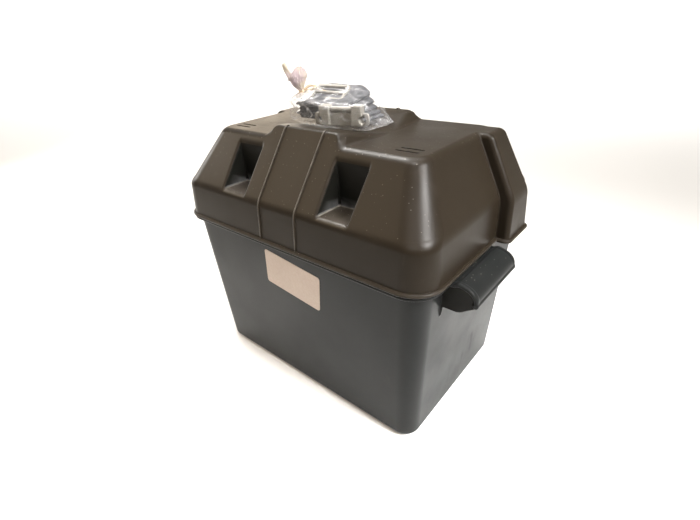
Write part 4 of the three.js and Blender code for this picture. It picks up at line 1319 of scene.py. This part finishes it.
def tiePiece():
    # a thin tie wound round the neck, with its loops and ends standing off to the right
    curve = bpy.data.curves.new("bag_tie_path", "CURVE")
    curve.dimensions = "3D"
    curve.bevel_depth = tie["thick"] * mm
    curve.bevel_resolution = 2
    curve.use_fill_caps = True
    steps = tie["steps"]
    wound = []
    for i in range(steps + 1):
        angle = 2 * math.pi * tie["turns"] * i / steps
        wound.append((tie["reach"] * math.cos(angle) - 0.3,
                      tie["reach"] * 0.86 * math.sin(angle),
                      tie["rise"] * (i / steps - 0.5) + 1.0 + 0.3 * math.sin(angle * 1.7)))
    for route in [wound] + tie["loops"]:
        spline = curve.splines.new("NURBS")
        spline.points.add(len(route) - 1)
        spline.order_u = 3
        spline.use_endpoint_u = True
        for point, (aside, away, rise) in zip(spline.points, route):
            spot = neckSpot + tailRight * aside + tailDeep * away + np.array([0, 0, rise])
            point.co = (*(spot * mm), 1)
    piece = plainCopy(linked("bag_tie_path", curve), "bag_tie")
    piece.data.materials.clear()
    piece.data.materials.append(tieRubber)
    return piece


tieMesh = tiePiece()

# The material, body and node of each piece, and a slot name that nothing reads

for piece, material in ((lidPiece, lidPlastic), (tubPiece, tubPlastic), (frontBracket, nylon),
                        (backBracket, nylon), (bucklePiece, nylon)):
    piece.data.materials.append(material)
# faces in the recesses get the darker plastic, as painted shade
for piece, hollow in ((lidPiece, lidPaintedShade), (tubPiece, tubPaintedShade)):
    piece.data.materials.append(paintedShadePlastic)
    piece.data.polygons.foreach_set("material_index", hollow.astype(np.int32))
    print(f"{piece.name}: {int(hollow.sum())} dull faces")
labelNode = bpy.data.objects["label"]
for slot in labelNode.material_slots:
    slot.material = paper

for piece, body, nodes, slotName in (
        (lidPiece, "lid", ["lid"], "lid"),
        (tubPiece, "tub", ["tub"], "tub"),
        (frontBracket, "fittings_bag", ["hold_down_bracket_1"], "fitting_plastic"),
        (backBracket, "fittings_bag", ["hold_down_bracket_2"], "fitting_plastic"),
        (bucklePiece, "fittings_bag", ["strap_buckle"], "fitting_plastic"),
        (strapMesh, "fittings_bag", ["hold_down_strap"], "strap"),
        (screws, "fittings_bag", [f"bracket_screw_{number}" for number in (1, 2, 3, 4)], "screw"),
        (filmMesh, "fittings_bag", ["bag"], "bag"),
        (tieMesh, "fittings_bag", [], "bag")):
    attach(piece, body)
    if nodes:
        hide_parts(*nodes)

# The camera, floor and lights

studio = {
    "place": (0.271208, -0.322243, 0.359707), "lens": 20.781, "shift": (0.0162, 0.0241),
    "right": (0.75976, 0.64791, -0.05455), "up": (-0.30982, 0.43451, 0.8457),
}
cameraData = bpy.data.cameras.new("photo_camera")
cameraData.sensor_width = 36
cameraData.lens = studio["lens"]
cameraData.shift_x, cameraData.shift_y = studio["shift"]
cameraData.clip_start = 0.01
camera = linked("photo_camera", cameraData)
right = Vector(studio["right"]).normalized()
up = Vector(studio["up"])
up = (up - right * up.dot(right)).normalized()
back = right.cross(up)
turn = Matrix((right, up, back)).transposed().to_4x4()
camera.matrix_world = Matrix.Translation(studio["place"]) @ turn
bpy.context.scene.camera = camera

floorLook = {"base": (0.9, 0.9, 0.89), "rough": 0.75,
             "tones": ((0.89, 0.89, 0.885), (0.91, 0.91, 0.905))}
floorMaterial, floorTree, floorShader, floorPlace = finish(
    "pale_floor", floorLook["base"], floorLook["rough"])
floorTone = mixColor(floorTree, noiseValue(floorTree, floorPlace, 3.0), *floorLook["tones"])
floorTree.links.new(floorTone, floorShader.inputs["Base Color"])

# in metres: the bend is how far on, how much further, how high and in how many steps
sweep = {"forward": (-0.672, 0.740, 0), "across": (0.740, 0.672, 0), "low": -0.0004, "half": 6.0,
         "bend": (0.95, 0.5, 0.1, 8), "slope": (1.3, 0.52, 4)}


def sweepPiece():
    # flat for most of its length, and rising gently far behind the box
    forward, across, low = Vector(sweep["forward"]), Vector(sweep["across"]), sweep["low"]
    bendAt, bendRun, bendRise, bendSteps = sweep["bend"]
    run, rise, steps = sweep["slope"]
    profile = [(-sweep["half"], low), (bendAt, low)]
    profile += [(bendAt + bendRun * i / bendSteps, low + bendRise * (i / bendSteps) ** 2)
                for i in range(1, bendSteps + 1)]
    profile += [(bendAt + bendRun + run * i / steps, low + bendRise + rise * i / steps)
                for i in range(1, steps + 1)]
    points, faces = [], []
    for along, up in profile:
        for side in (-sweep["half"], sweep["half"]):
            spot = forward * along + across * side
            points.append((spot.x, spot.y, up))
    for i in range(len(profile) - 1):
        faces.append((2 * i, 2 * i + 1, 2 * i + 3, 2 * i + 2))
    piece = plainMesh("floor", points, faces)
    smooth(piece.data)
    piece.data.materials.append(floorMaterial)
    return piece


sweepPiece()

room = {"color": (1.0, 0.90, 0.78, 1), "strength": 0.22}
world = bpy.data.worlds.new("dim_room")
world.use_nodes = True
background = world.node_tree.nodes["Background"]
background.inputs["Color"].default_value = room["color"]
background.inputs["Strength"].default_value = room["strength"]
bpy.context.scene.world = world
bpy.context.scene.view_settings.view_transform = "Standard"


def softBox(name, place, aim, size, power, tint, spread):
    data = bpy.data.lights.new(name, "AREA")
    data.shape = "RECTANGLE"
    data.size, data.size_y = size
    data.energy = power
    data.color = tint
    data.spread = math.radians(spread)
    lamp = linked(name, data)
    lamp.location = place
    lamp.rotation_euler = (Vector(aim) - Vector(place)).to_track_quat("-Z", "Y").to_euler()
    lamp.visible_camera = False
    return lamp


white, cream, amber = (1.0, 0.99, 0.97), (1.0, 0.96, 0.92), (1.0, 0.80, 0.56)
pale, pearl = (1.0, 0.98, 0.96), (1.0, 0.98, 0.95)
# name, place, aim, size, watts, tint and spread in degrees of each soft box
for settings in (
        ("corner_box", (0.95, -0.04, 1.12), (0.137, -0.078, 0.244), (0.42, 0.42), 1.25, pale, 30),
        ("top_box", (-0.95, 0.8, 2.4), (-0.75, 0.7, 0), (2.4, 2.4), 33.0, white, 120),
        ("warm_box", (-0.96, -0.75, 1.1), (0, -0.08, 0.24), (1.2, 0.9), 9.0, amber, 180),
        ("low_box", (-1.2, 1.0, 0.6), (-0.08, 0, 0.27), (0.8, 0.45), 2.1, amber, 180),
        ("left_box", (-1.44, -0.2, 0.62), (0, -0.09, 0.25), (0.25, 0.5), 4.0, cream, 180),
        ("lens_box", (0.62, -1.0, 1.25), (0.065, -0.09, 0.24), (0.5, 0.4), 4.5, cream, 180),
        ("edge_box", (-0.72, 0.39, 1.46), (0.06, -0.06, 0.27), (0.35, 0.35), 0.75, pearl, 36),
        ("head_box", (0.22, -0.14, 1.5), (0.05, -0.06, 0.28), (0.2, 0.2), 0.9, pearl, 60)):
    softBox(*settings)
# these light the floor beside the end and the backdrop, and aren't mirrored themselves
for settings in (
        ("end_box", (0.95, 0.22, 0.9), (0.22, 0.03, 0), (0.7, 0.7), 2.8, white, 50),
        ("back_box", (-1.5, 1.6, 1.8), (-1.7, 2.1, 0.4), (1.2, 1.2), 16.0, white, 120),
        ("back_left_box", (-2.2, 0.6, 1.6), (-3.1, 0.7, 0.4), (1.0, 1.0), 16.0, white, 120),
        ("back_right_box", (0.3, 1.9, 1.6), (0.1, 2.8, 0.3), (1.0, 1.0), 14.0, white, 120)):
    softBox(*settings).visible_glossy = False
